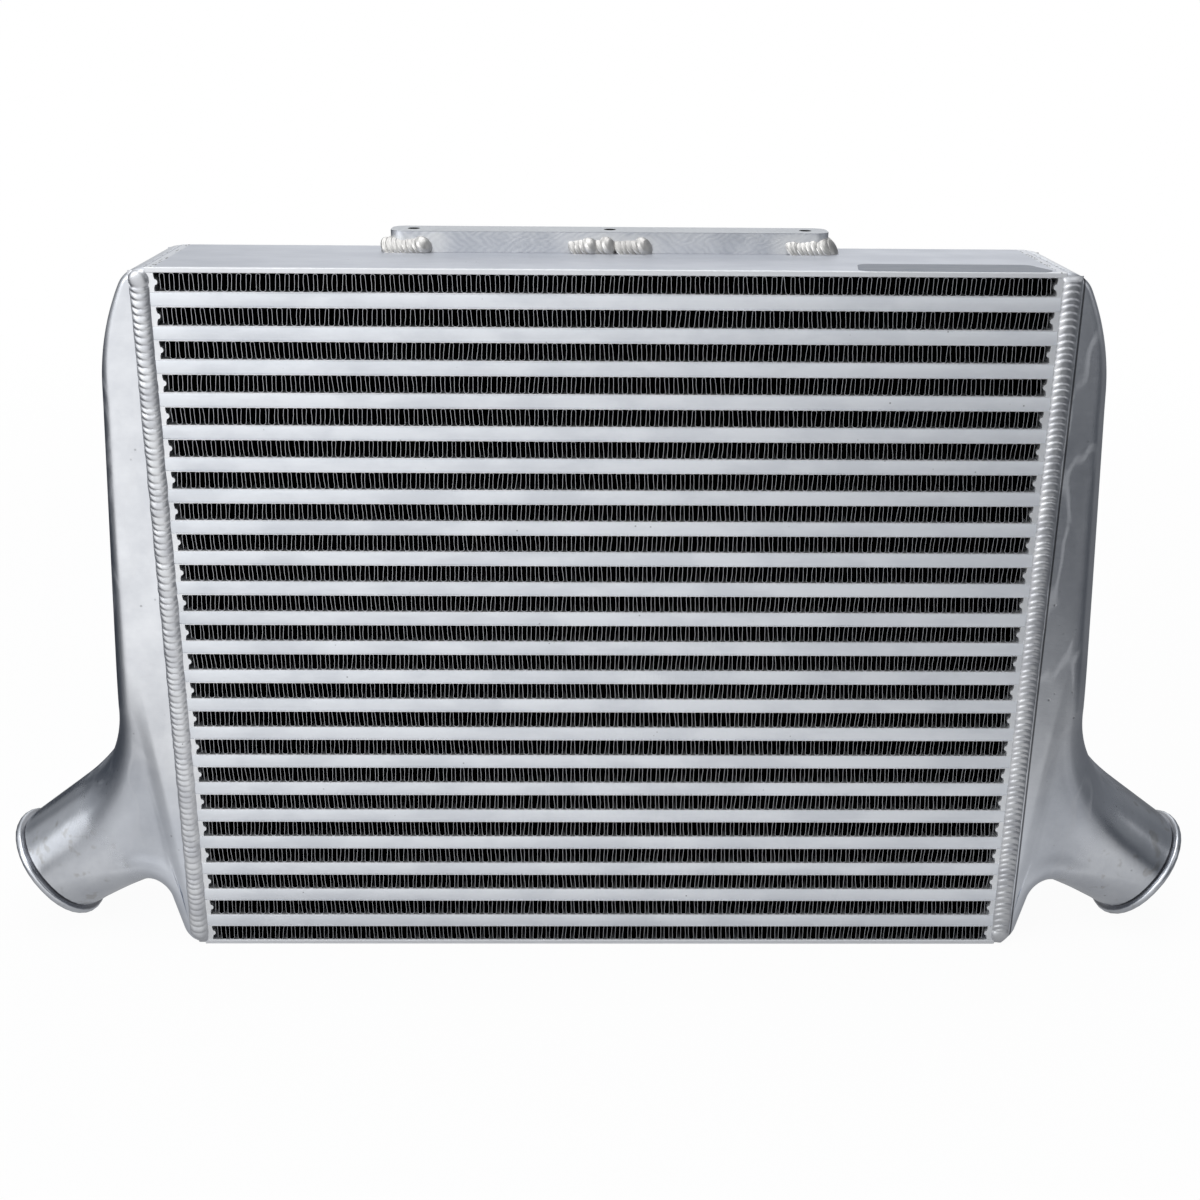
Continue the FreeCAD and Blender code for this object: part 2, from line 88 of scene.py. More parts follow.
class Term:
    """An output socket of a node tree that ordinary operators work on."""

    def __init__(self, graph: "Graph", socket: bpy.types.NodeSocket | None) -> None:
        """Keep the tree and the socket that carries the value."""
        self.graph, self.socket = graph, socket

    def __add__(self, other: "Term | float") -> "Term":
        """Sum."""
        return self.graph.maths("ADD", self, other)

    def __sub__(self, other: "Term | float") -> "Term":
        """Difference."""
        return self.graph.maths("SUBTRACT", self, other)

    def __rsub__(self, other: float) -> "Term":
        """Difference with a number on the left."""
        return self.graph.maths("SUBTRACT", other, self)

    def __mul__(self, other: "Term | float") -> "Term":
        """Product."""
        return self.graph.maths("MULTIPLY", self, other)

    def __pow__(self, other: "Term | float") -> "Term":
        """Power."""
        return self.graph.maths("POWER", self, other)

    def __abs__(self) -> "Term":
        """Size without sign."""
        return self.graph.maths("ABSOLUTE", self)

    def least(self, other: "Term | float") -> "Term":
        """Smaller of two values."""
        return self.graph.maths("MINIMUM", self, other)

    def most(self, other: "Term | float") -> "Term":
        """Larger of two values."""
        return self.graph.maths("MAXIMUM", self, other)

    def other(self, output: str | int) -> "Term":
        """Another output of the same node."""
        return Term(self.graph, self.socket.node.outputs[output])

    def ramp(self, low: float, high: float, start: float = 0.0, end: float = 1.0) -> "Term":
        """Smooth step from start to end while the value runs from low to high.

        Args:
            low: value where the step begins.
            high: value where it ends.
            start: result at and before low.
            end: result at and after high.

        Returns:
            The stepped value.
        """
        inputs = {"Value": self, "From Min": low, "From Max": high, "To Min": start, "To Max": end}
        settings = {"interpolation_type": "SMOOTHSTEP"}
        return self.graph.add("ShaderNodeMapRange", settings, inputs, "Result")

    def fall(self, low: float, high: float) -> "Term":
        """Smooth step from 1 down to 0."""
        return self.ramp(low, high, 1.0, 0.0)


class Graph:
    """Node tree of one material or of the world."""

    def __init__(self, tree: bpy.types.NodeTree) -> None:
        """Take a tree and empty it."""
        self.tree = tree
        self.tree.nodes.clear()

    def add(self, kind: str, settings: dict | None = None, inputs: dict | None = None,
            output: str | int = 0) -> Term:
        """Add one node.

        Args:
            kind: type name of the node.
            settings: properties, set before the sockets.
            inputs: values or terms for the sockets, by name or number.
            output: name or number of the output that is returned.

        Returns:
            The chosen output; an output node has none, and its term is empty.
        """
        node = self.tree.nodes.new(kind)
        for name, value in (settings or {}).items():
            setattr(node, name, value)
        for name, value in (inputs or {}).items():
            if isinstance(value, Term):
                self.tree.links.new(value.socket, node.inputs[name])
            else:
                node.inputs[name].default_value = value
        return Term(self, node.outputs[output] if len(node.outputs) else None)

    def maths(self, operation: str, first: Term | float, second: Term | float = 0.0) -> Term:
        """Math node on one or two values."""
        return self.add("ShaderNodeMath", {"operation": operation}, {0: first, 1: second})

    def place(self) -> Term:
        """Position in the object's own frame, in metres."""
        return self.add("ShaderNodeTexCoord", output="Object")

    def axes(self, vector: Term) -> tuple[Term, Term, Term]:
        """X, Y and Z of a vector."""
        first = self.add("ShaderNodeSeparateXYZ", {}, {0: vector})
        return first, first.other(1), first.other(2)

    def stretched(self, vector: Term, factors: Triple) -> Term:
        """Vector with each axis multiplied by its own factor."""
        return self.add("ShaderNodeVectorMath", {"operation": "MULTIPLY"}, {0: vector, 1: factors})

    def noise(self, vector: Term, scale: float | Triple, detail: float = 3.0,
              roughness: float = 0.55) -> Term:
        """Cloudy noise between 0 and 1.

        Args:
            vector: position.
            scale: clouds per metre, for all axes or for each.
            detail: number of octaves.
            roughness: weight of the finer octaves.

        Returns:
            The noise.
        """
        if isinstance(scale, tuple):
            vector, scale = self.stretched(vector, scale), 1.0
        inputs = {"Vector": vector, "Scale": scale, "Detail": detail, "Roughness": roughness}
        return self.add("ShaderNodeTexNoise", {}, inputs, "Fac")

    def cells(self, vector: Term, scale: float) -> Term:
        """Distance to the nearest of scattered points, in cell sizes."""
        return self.add("ShaderNodeTexVoronoi", {}, {"Vector": vector, "Scale": scale}, "Distance")

    def mix(self, factor: Term | float, first: Term | Triple, second: Term | Triple) -> Term:
        """Colour between two colours.

        Args:
            factor: 0 for the first colour, 1 for the second.
            first: first colour.
            second: second colour.

        Returns:
            The mixed colour.
        """
        inputs = {0: factor}
        for slot, colour in ((6, first), (7, second)):
            inputs[slot] = colour if isinstance(colour, Term) else (*colour, 1.0)
        return self.add("ShaderNodeMix", {"data_type": "RGBA"}, inputs, 2)

    def blend(self, factor: Term, first: Term, second: Term) -> Term:
        """Shader between two shaders."""
        return self.add("ShaderNodeMixShader", {}, {0: factor, 1: first, 2: second})

    def surface(self, base: Term, roughness: Term, metallic: float = 1.0,
                relief: tuple[Term, float, float] | None = None) -> None:
        """Principled surface wired to the output.

        Args:
            base: base colour.
            roughness: roughness.
            metallic: share of bare metal.
            relief: height field of the bump, its strength, and its height in metres.
        """
        inputs = {"Base Color": base, "Metallic": metallic, "Roughness": roughness}
        if relief:
            bump = dict(zip(("Height", "Strength", "Distance"), relief))
            inputs["Normal"] = self.add("ShaderNodeBump", {}, bump, "Normal")
        shader = self.add("ShaderNodeBsdfPrincipled", {}, inputs)
        self.add("ShaderNodeOutputMaterial", {}, {"Surface": shader})


# Finishes


@dataclass(frozen=True)
class Finish:
    """A surface; each kind of finish draws its own marks over two base colours."""

    name: str
    colour: Triple
    shade: Triple
    roughness: float
    slot: str

    def material(self) -> bpy.types.Material:
        """The material of this finish, made once."""
        made = bpy.data.materials.get(self.name)
        if not made:
            made = bpy.data.materials.new(self.name)
            made.use_nodes = True
            self.dress(Graph(made.node_tree))
        return made

    def dress(self, graph: Graph) -> None:
        """Fill the material's node tree."""
        raise NotImplementedError

    def tone(self, graph: Graph, amount: Term) -> Term:
        """Base colour between the finish's two colours."""
        return graph.mix(amount, self.colour, self.shade)


@dataclass(frozen=True)
class BrazedFinish(Finish):
    """Flat extrusions after brazing: matt, faint lengthwise lines, pale clouds and small marks."""

    grain: Triple = (60.0, 900.0, 900.0)
    metallic: float = 0.86

    def dress(self, graph: Graph) -> None:
        """Fill the material's node tree.

        Args:
            graph: tree to fill.
        """
        place = graph.place()
        cloud = graph.noise(place, (28.0, 60.0, 60.0), 4.0)
        lines = graph.noise(place, self.grain, 3.0, 0.6)
        grit = graph.noise(place, 2600.0, 2.0)
        specks = graph.cells(place, 130.0).fall(0.02, 0.10)
        marks = specks * graph.noise(place, 35.0, 1.0).ramp(0.58, 0.66)
        base = self.tone(graph, cloud.ramp(0.35, 0.68) * 0.8 + lines * 0.25)
        base = self.tinted(graph, place, graph.mix(marks * 0.7, base, (0.20, 0.20, 0.21)))
        height = lines * 0.5 + grit * 0.5 - marks * 0.8
        graph.surface(base, cloud * 0.16 + lines * 0.10 + self.roughness, self.metallic,
                      (height, 0.35, 0.00012))

    def tinted(self, graph: Graph, place: Term, base: Term) -> Term:
        """Base colour as it is; finishes with a line or an edge change it here."""
        return base


@dataclass(frozen=True)
class PlateFinish(BrazedFinish):
    """Side plate: brazed, a pale filler line along the front edge, a dotted seam at the ends."""

    filler: Pair = (0.0424, 0.0434)
    strip: Pair = (0.2440, 0.2462)

    def tinted(self, graph: Graph, place: Term, base: Term) -> Term:
        """Base colour with the pale lines and the seam.

        Args:
            graph: tree to fill.
            place: position.
            base: colour without them.

        Returns:
            The colour.
        """
        across, along, up = graph.axes(place)
        top = up.ramp(*TOP_FACE)
        ragged = graph.noise(place, (160.0, 400.0, 400.0)) - 0.5
        line = (ragged * 0.0030 - along).ramp(*self.filler)
        base = graph.mix(line * 0.8, base, (0.93, 0.94, 0.96))
        seam = abs(abs(across) + ragged * 0.002 - self.strip[1]).fall(0.0009, 0.0016) * top
        dots = graph.cells(graph.stretched(place, (1.0, 0.5, 1.0)), 520.0).fall(0.22, 0.42)
        base = graph.mix(abs(across).ramp(*self.strip) * top * 0.5, base, (0.90, 0.91, 0.93))
        return graph.mix(seam * dots * 0.85, base, (0.10, 0.10, 0.10))


@dataclass(frozen=True)
class FinFinish(Finish):
    """Thin folded strip: bare metal along the cut edges, painted near black inside as the shade of
    the deep narrow passages between the walls.
    """

    edge: Pair = (0.0440, 0.04437)

    def dress(self, graph: Graph) -> None:
        """Fill the material's node tree.

        Args:
            graph: tree to fill.
        """
        place = graph.place()
        _, along, _ = graph.axes(place)
        cloud = graph.noise(place, 180.0, 2.0)
        # Painted shade: everything deeper than the strip's front and rear edges is near black,
        # standing in for the shade inside the fin passages.
        base = graph.mix(abs(along).fall(*self.edge), self.tone(graph, cloud * 0.6),
                         (0.004, 0.004, 0.005))
        graph.surface(base, cloud * 0.2 + self.roughness)


@dataclass(frozen=True)
class CastFinish(Finish):
    """Sand-cast skin, brushed by hand: satin, streaks, small pits, polished near the rim."""

    rim: Pair = (0.3525, 0.033)
    axis: Pair = (0.809, -0.588)

    def dress(self, graph: Graph) -> None:
        """Fill the material's node tree.

        Args:
            graph: tree to fill.
        """
        place = graph.place()
        across, _, up = graph.axes(place)
        travel = (abs(across) - self.rim[0]) * self.axis[0] + (up - self.rim[1]) * self.axis[1]
        polished = travel.ramp(-0.070, -0.040)
        body = 1.0 - polished
        cloud = graph.noise(place, 22.0, 4.0, 0.6)
        fine = graph.noise(place, 260.0, 3.0, 0.6)
        streaks = graph.noise(place, (260.0, 1500.0, 1500.0), 3.0, 0.65)
        crossed = graph.noise(place, (1400.0, 900.0, 160.0), 3.0, 0.65)
        brushed = streaks * body + crossed * polished
        sparse = graph.noise(place, 30.0, 2.0).ramp(0.56, 0.66)
        pits = graph.cells(place, 150.0).fall(0.03, 0.16) * sparse
        stains = graph.noise(place, 95.0, 2.0).ramp(0.60, 0.70) * polished
        # Painted shade: the saddle below the throat is mixed towards blue grey, standing in for the
        # darker surroundings it reflects.
        saddle_shade = travel.ramp(-0.135, -0.095) * (1.0 - polished * 0.55)
        swirl = graph.noise(place, (34.0, 34.0, 11.0), 2.0, 0.5)
        wipes = abs(swirl - 0.5).fall(0.004, 0.030) * body * cloud.ramp(0.40, 0.55)
        # Painted shade: a thin near-black line along the outer edge of the right weld bead, for the
        # shade in the groove there.
        gap = across.ramp(0.2590, 0.2594) * across.fall(0.2601, 0.2604)
        joint = abs(across).fall(0.2506, 0.2530) * up.ramp(*TOP_FACE)
        dots = graph.cells(place, 420.0).fall(0.18, 0.34) * joint
        # Painted shade: a dark ring in the groove behind the rolled lip, where the lip's back lies
        # in shade.
        neck_shade = travel.ramp(-0.0064, -0.0058) * travel.fall(-0.0050, -0.0044)
        base = self.tone(graph, cloud.ramp(0.3, 0.7) * 0.7 + fine * 0.3)
        for factor, colour in (
            (saddle_shade * 0.26, (0.46, 0.52, 0.64)), (wipes * 0.22, (0.96, 0.97, 1.0)),
            (stains * 0.4, (0.46, 0.44, 0.40)), (pits * 0.6, (0.16, 0.16, 0.16)),
            (gap * 0.85 * (1.0 - joint), (0.05, 0.05, 0.06)), (dots * 0.8, (0.10, 0.10, 0.10)),
            (neck_shade * 0.75, (0.10, 0.10, 0.11)),
        ):
            base = graph.mix(factor, base, colour)
        rough = (brushed * 0.12 + cloud * 0.08 + self.roughness - polished * 0.08 + joint * 0.2
                 + wipes * 0.10)
        facets = graph.noise(place, (34.0, 34.0, 15.0), 2.0, 0.4)
        lip = travel.ramp(-0.0070, -0.0058)
        height = ((brushed * 0.10 + fine * 0.05) * (1.0 - lip * 0.85) - pits * 0.2 - dots * 0.3
                  + facets * 1.6)
        graph.surface(base, rough, 1.0, (height, 1.0, 0.0004))


@dataclass(frozen=True)
class WeldFinish(Finish):
    """Weld metal: bright crowns, frosted ripples and a few pores."""

    def dress(self, graph: Graph) -> None:
        """Fill the material's node tree.

        Args:
            graph: tree to fill.
        """
        place = graph.place()
        cloud = graph.noise(place, 90.0)
        frost = graph.noise(place, 1500.0, 3.0, 0.65)
        sparse = graph.noise(place, 60.0, 2.0).ramp(0.60, 0.66)
        pores = graph.cells(place, 260.0).fall(0.04, 0.14) * sparse
        base = self.tone(graph, cloud.ramp(0.35, 0.7) * 0.7 + frost * 0.2)
        base = graph.mix(pores * 0.9, base, (0.08, 0.08, 0.08))
        graph.surface(base, cloud * 0.14 + frost * 0.12 + self.roughness, 1.0,
                      (frost * 0.6 - pores, 0.35, 0.00012))


@dataclass(frozen=True)
class MilledFinish(Finish):
    """Milled bar: crossed cutter arcs on the faces, pale heat marks near the weld beads."""

    centre: Pair = (BAR_CENTRE[0] * MM, BAR_CENTRE[1] * MM)
    spacing: float = BAR_SPACING * MM

    def dress(self, graph: Graph) -> None:
        """Fill the material's node tree.

        Args:
            graph: tree to fill.
        """
        place = graph.place()
        patches = graph.noise(place, (38.0, 38.0, 110.0), 2.0).ramp(0.40, 0.62)
        bands = {"wave_type": "BANDS", "bands_direction": "DIAGONAL"}
        hatch = []
        for factors, scale in (((1.0, 1.0, 1.2), 120.0), ((-0.7, 1.0, 1.1), 170.0)):
            wave = {"Vector": graph.stretched(place, factors), "Scale": scale, "Distortion": 6.0,
                    "Detail": 4.0, "Detail Scale": 1.2}
            hatch.append(graph.add("ShaderNodeTexWave", bands, wave, "Fac"))
        arcs = hatch[0] * patches + hatch[1] * (1.0 - patches)
        cloud = graph.noise(place, 45.0, 4.0, 0.6)
        scratch = graph.noise(place, (300.0, 1500.0, 900.0), 3.0, 0.7)
        across, along, up = graph.axes(place)
        offset = abs(across - self.centre[0])
        welds = abs(across - 0.004).fall(0.020, 0.034).most(offset.ramp(0.088, 0.100))
        low = (up + graph.noise(place, 70.0, 2.0) * 0.012).fall(0.436, 0.441)
        heated = welds * low * cloud.ramp(0.2, 0.5)
        nearest = offset.least(abs(offset - self.spacing))
        depth = along - self.centre[1]
        bore = (nearest * nearest + depth * depth) ** 0.5
        base = self.tone(graph, cloud.ramp(0.35, 0.7) * 0.6 + arcs * 0.4)
        base = graph.mix(heated * 0.7, base, (0.90, 0.90, 0.89))
        # Painted shade: the bar's top face is darkened to blue grey.
        base = graph.mix(up.ramp(0.4344, 0.4349) * 0.8, base, (0.42, 0.44, 0.47))
        # Painted shade: the tapped holes and their threads are painted near black inside.
        base = graph.mix(bore.fall(0.0035, 0.0038), base, (0.02, 0.02, 0.02))
        graph.surface(base, arcs * 0.10 + scratch * 0.12 + heated * 0.15 + self.roughness, 1.0,
                      (arcs * 0.4 + scratch * 0.6, 0.4, 0.0002))


@dataclass(frozen=True)
class FoilFinish(Finish):
    """Bare foil label: grey-blue lacquer with faint creases and rubbed spots."""

    def dress(self, graph: Graph) -> None:
        """Fill the material's node tree.

        Args:
            graph: tree to fill.
        """
        place = graph.place()
        crease = graph.noise(place, (60.0, 240.0, 240.0), 3.0, 0.6)
        rubbed = graph.noise(place, 120.0, 4.0, 0.7).ramp(0.56, 0.70)
        rough = crease * 0.12 + rubbed * 0.15 + self.roughness
        graph.surface(self.tone(graph, rubbed * 0.7), rough, 0.6, (crease, 0.4, 0.0004))


@dataclass(frozen=True)
class FloorFinish(Finish):
    """Pale studio floor: runs out to plain white and keeps a soft shadow; to reflections it glows
    with a painted pattern of light and shade.
    """

    bright: float = 0.955
    fade: Pair = (0.7, 2.2)

    def dress(self, graph: Graph) -> None:
        """Fill the material's node tree.

        Args:
            graph: tree to fill.
        """
        place = graph.place()
        grain = graph.noise(place, 30.0)
        paint = {"Base Color": self.tone(graph, grain), "Roughness": grain * 0.1 + self.roughness}
        floor = graph.add("ShaderNodeBsdfPrincipled", {}, paint)
        glow = graph.add("ShaderNodeEmission", {}, {"Color": WHITE, "Strength": 1.0})
        dim = graph.add("ShaderNodeEmission", {}, {"Color": BLUE, "Strength": BLUE_STRENGTH})
        rays = graph.add("ShaderNodeLightPath", output="Is Camera Ray")
        across, along, _ = graph.axes(place)
        reach = (across * across + along * along) ** 0.5
        share = reach.ramp(*self.fade, self.bright, 1.0)
        seen = graph.blend(rays.most(rays.other("Is Transmission Ray")) * share, floor, glow)
        painted_reflection = graph.blend(self.painted_reflection(across, along, reach), dim, glow)
        whole = graph.blend(rays.other("Is Glossy Ray"), seen, painted_reflection)
        graph.add("ShaderNodeOutputMaterial", {}, {"Surface": whole})

    def painted_reflection(self, across: Term, along: Term, reach: Term) -> Term:
        """Painted reflection: how brightly each place of the floor glows to reflections, darker to
        the right and to the rear.

        Args:
            across: X.
            along: Y.
            reach: distance from the middle.

        Returns:
            Level from 0 to 1.
        """
        level = across.ramp(-0.05, 0.50, 1.0, 0.06) * along.ramp(-0.30, 0.00, 1.0, 0.20)
        level = level * (along - across * 0.6 - 0.134).ramp(-0.36, -0.02, 1.0, 0.10)
        lift = (along + across * 0.6 - 0.134).ramp(-0.10, 0.15) * across.ramp(0.30, 0.50) * 0.14
        # Painted shadow: close to the object the glow falls to between 0.62 and 0.74, and to about
        # half of that under it.
        near = reach.fall(0.30, 0.66)
        under = along.ramp(-0.15, -0.02, 1.0, 0.52)
        close = near * across.ramp(-0.40, 0.40, 0.74, 0.62) * under
        return level.most(lift) * (1.0 - near) + close


BAR_FINISH = BrazedFinish("brazed_bar", (0.92, 0.945, 0.985), (0.80, 0.825, 0.87), 0.42, "core")
SHEET_FINISH = BrazedFinish("separator_sheet", (0.94, 0.95, 0.97), (0.82, 0.84, 0.87), 0.34, "core")
PLATE_FINISH = PlateFinish("side_plate", (0.62, 0.64, 0.69), (0.56, 0.58, 0.63), 0.40, "core",
                           (40.0, 1100.0, 900.0))
FIN_FINISH = FinFinish("folded_fin", (0.74, 0.75, 0.78), (0.52, 0.53, 0.56), 0.45, "fins")
TURBULATOR_FINISH = BrazedFinish("turbulator_strip", (0.55, 0.56, 0.58), (0.42, 0.43, 0.45), 0.5,
                                 "turbulators")
CAST_FINISH = CastFinish("cast_tank", (0.92, 0.94, 0.975), (0.70, 0.72, 0.765), 0.21, "tanks")
WELD_FINISH = WeldFinish("weld_metal", (0.75, 0.76, 0.78), (0.54, 0.55, 0.585), 0.28, "welds")
# Painted shade: the bar's beads are the same weld metal as the corner beads, given a darker, warmer
# base colour to tone down the bright light they catch from above.
BAR_WELD_SHADED_FINISH = WeldFinish("bar_weld_metal_shaded", (0.70, 0.69, 0.67), (0.46, 0.45, 0.44), 0.27,
                             "welds")
MILLED_FINISH = MilledFinish("milled_bar", (0.82, 0.83, 0.85), (0.58, 0.60, 0.64), 0.26, "bar")
FOIL_FINISH = FoilFinish("foil_label", (0.11, 0.13, 0.17), (0.22, 0.25, 0.30), 0.30, "core")
FLOOR_FINISH = FloorFinish("studio_floor", (0.86, 0.86, 0.865), (0.84, 0.84, 0.845), 0.75, "")


# Meshes


class Shape:
    """Points in millimetres and faces of one piece, gathered part by part."""

    def __init__(self) -> None:
        """Start empty."""
        self.points: list[Points] = []
        self.faces: list[np.ndarray] = []
        self.count = 0

    def add(self, points: Points, faces: np.ndarray) -> None:
        """Add points, and faces as rows of numbers that count from this part's first point."""
        self.points.append(np.asarray(points, float).reshape(-1, 3))
        self.faces.append(np.asarray(faces, int) + self.count)
        self.count += len(self.points[-1])

    def grid(self, points: Points, wrap: bool = False) -> None:
        """Add a net of four-sided faces.

        Args:
            points: rows by columns by 3.
            wrap: whether the last column joins the first.
        """
        rows, columns = points.shape[:2]
        number = np.arange(rows * columns).reshape(rows, columns)
        following = np.roll(number, -1, axis=1)
        if not wrap:
            number, following = number[:, :-1], following[:, :-1]
        faces = np.stack([number[:-1], following[:-1], following[1:], number[1:]], axis=-1)
        self.add(points, faces.reshape(-1, 4))

    def tube(self, rings: Points) -> None:
        """Add a tube with closed ends.

        Args:
            rings: rings by corners by 3.
        """
        first = np.arange(rings.shape[1]) + self.count
        self.grid(rings, wrap=True)
        self.faces += [first[None, ::-1], first[None, :] + (len(rings) - 1) * len(first)]

    def piece(self, name: str, finish: Finish, sharp: float = 35.0,
              weld: float = 0.0) -> bpy.types.Object:
        """Make the object.

        Args:
            name: name of the object.
            finish: its finish.
            sharp: edges that turn more than this many degrees stay sharp.
            weld: points closer than this many millimetres become one; 0 keeps all.

        Returns:
            The object, riding on the body.
        """
        points = np.vstack(self.points) * MM
        sizes = np.concatenate([np.full(len(block), block.shape[1]) for block in self.faces])
        corners = np.concatenate([block.ravel() for block in self.faces])
        mesh = bpy.data.meshes.new(name)
        mesh.vertices.add(len(points))
        mesh.vertices.foreach_set("co", points.ravel())
        mesh.loops.add(len(corners))
        mesh.loops.foreach_set("vertex_index", corners)
        mesh.polygons.add(len(sizes))
        mesh.polygons.foreach_set("loop_start", np.concatenate([[0], np.cumsum(sizes)[:-1]]))
        mesh.update(calc_edges=True)
        work = bmesh.new()
        work.from_mesh(mesh)
        if weld:
            bmesh.ops.remove_doubles(work, verts=work.verts, dist=weld * MM)
            bmesh.ops.dissolve_degenerate(work, edges=work.edges, dist=weld * MM * 0.1)
        bmesh.ops.recalc_face_normals(work, faces=work.faces)
        work.to_mesh(mesh)
        work.free()
        mesh.polygons.foreach_set("use_smooth", np.ones(len(mesh.polygons), bool))
        mesh.set_sharp_from_angle(angle=math.radians(sharp))
        return stood(mesh, finish)


def stood(mesh: bpy.types.Mesh, finish: Finish) -> bpy.types.Object:
    """Put a mesh into the scene as a piece of the body.

    Args:
        mesh: the mesh; the object takes its name.
        finish: its finish.

    Returns:
        The object.
    """
    mesh.materials.append(finish.material())
    made = bpy.data.objects.new(mesh.name, mesh)
    bpy.context.collection.objects.link(made)
    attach(made, BODY)
    LOG.info("%s: %d faces", made.name, len(mesh.polygons))
    return made


def dress_node(node: str, finish: Finish) -> None:
    """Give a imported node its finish.

    Args:
        node: name of the node.
        finish: its finish.
    """
    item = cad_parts[node]
    material = finish.material()
    if item.data.materials:
        for slot in item.material_slots:
            slot.material = material
    else:
        item.data.materials.append(material)


def edged(node: str, finish: Finish, bevel: float) -> None:
    """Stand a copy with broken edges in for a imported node.

    Args:
        node: name of the node.
        finish: its finish.
        bevel: width of the broken edges in millimetres.
    """
    work = bmesh.new()
    work.from_mesh(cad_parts[node].data)
    bmesh.ops.remove_doubles(work, verts=work.verts, dist=1e-6)
    bmesh.ops.dissolve_limit(work, angle_limit=math.radians(1), verts=work.verts, edges=work.edges)
    for face in work.faces:
        face.material_index = 0
        face.smooth = False
    mesh = bpy.data.meshes.new(node + "_edged")
    work.to_mesh(mesh)
    work.free()
    made = stood(mesh, finish)
    edge = made.modifiers.new("edge", "BEVEL")
    edge.width = bevel * MM
    edge.segments = 2
    edge.limit_method = "ANGLE"
    edge.angle_limit = math.radians(40)
    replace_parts(made, node)


# Core


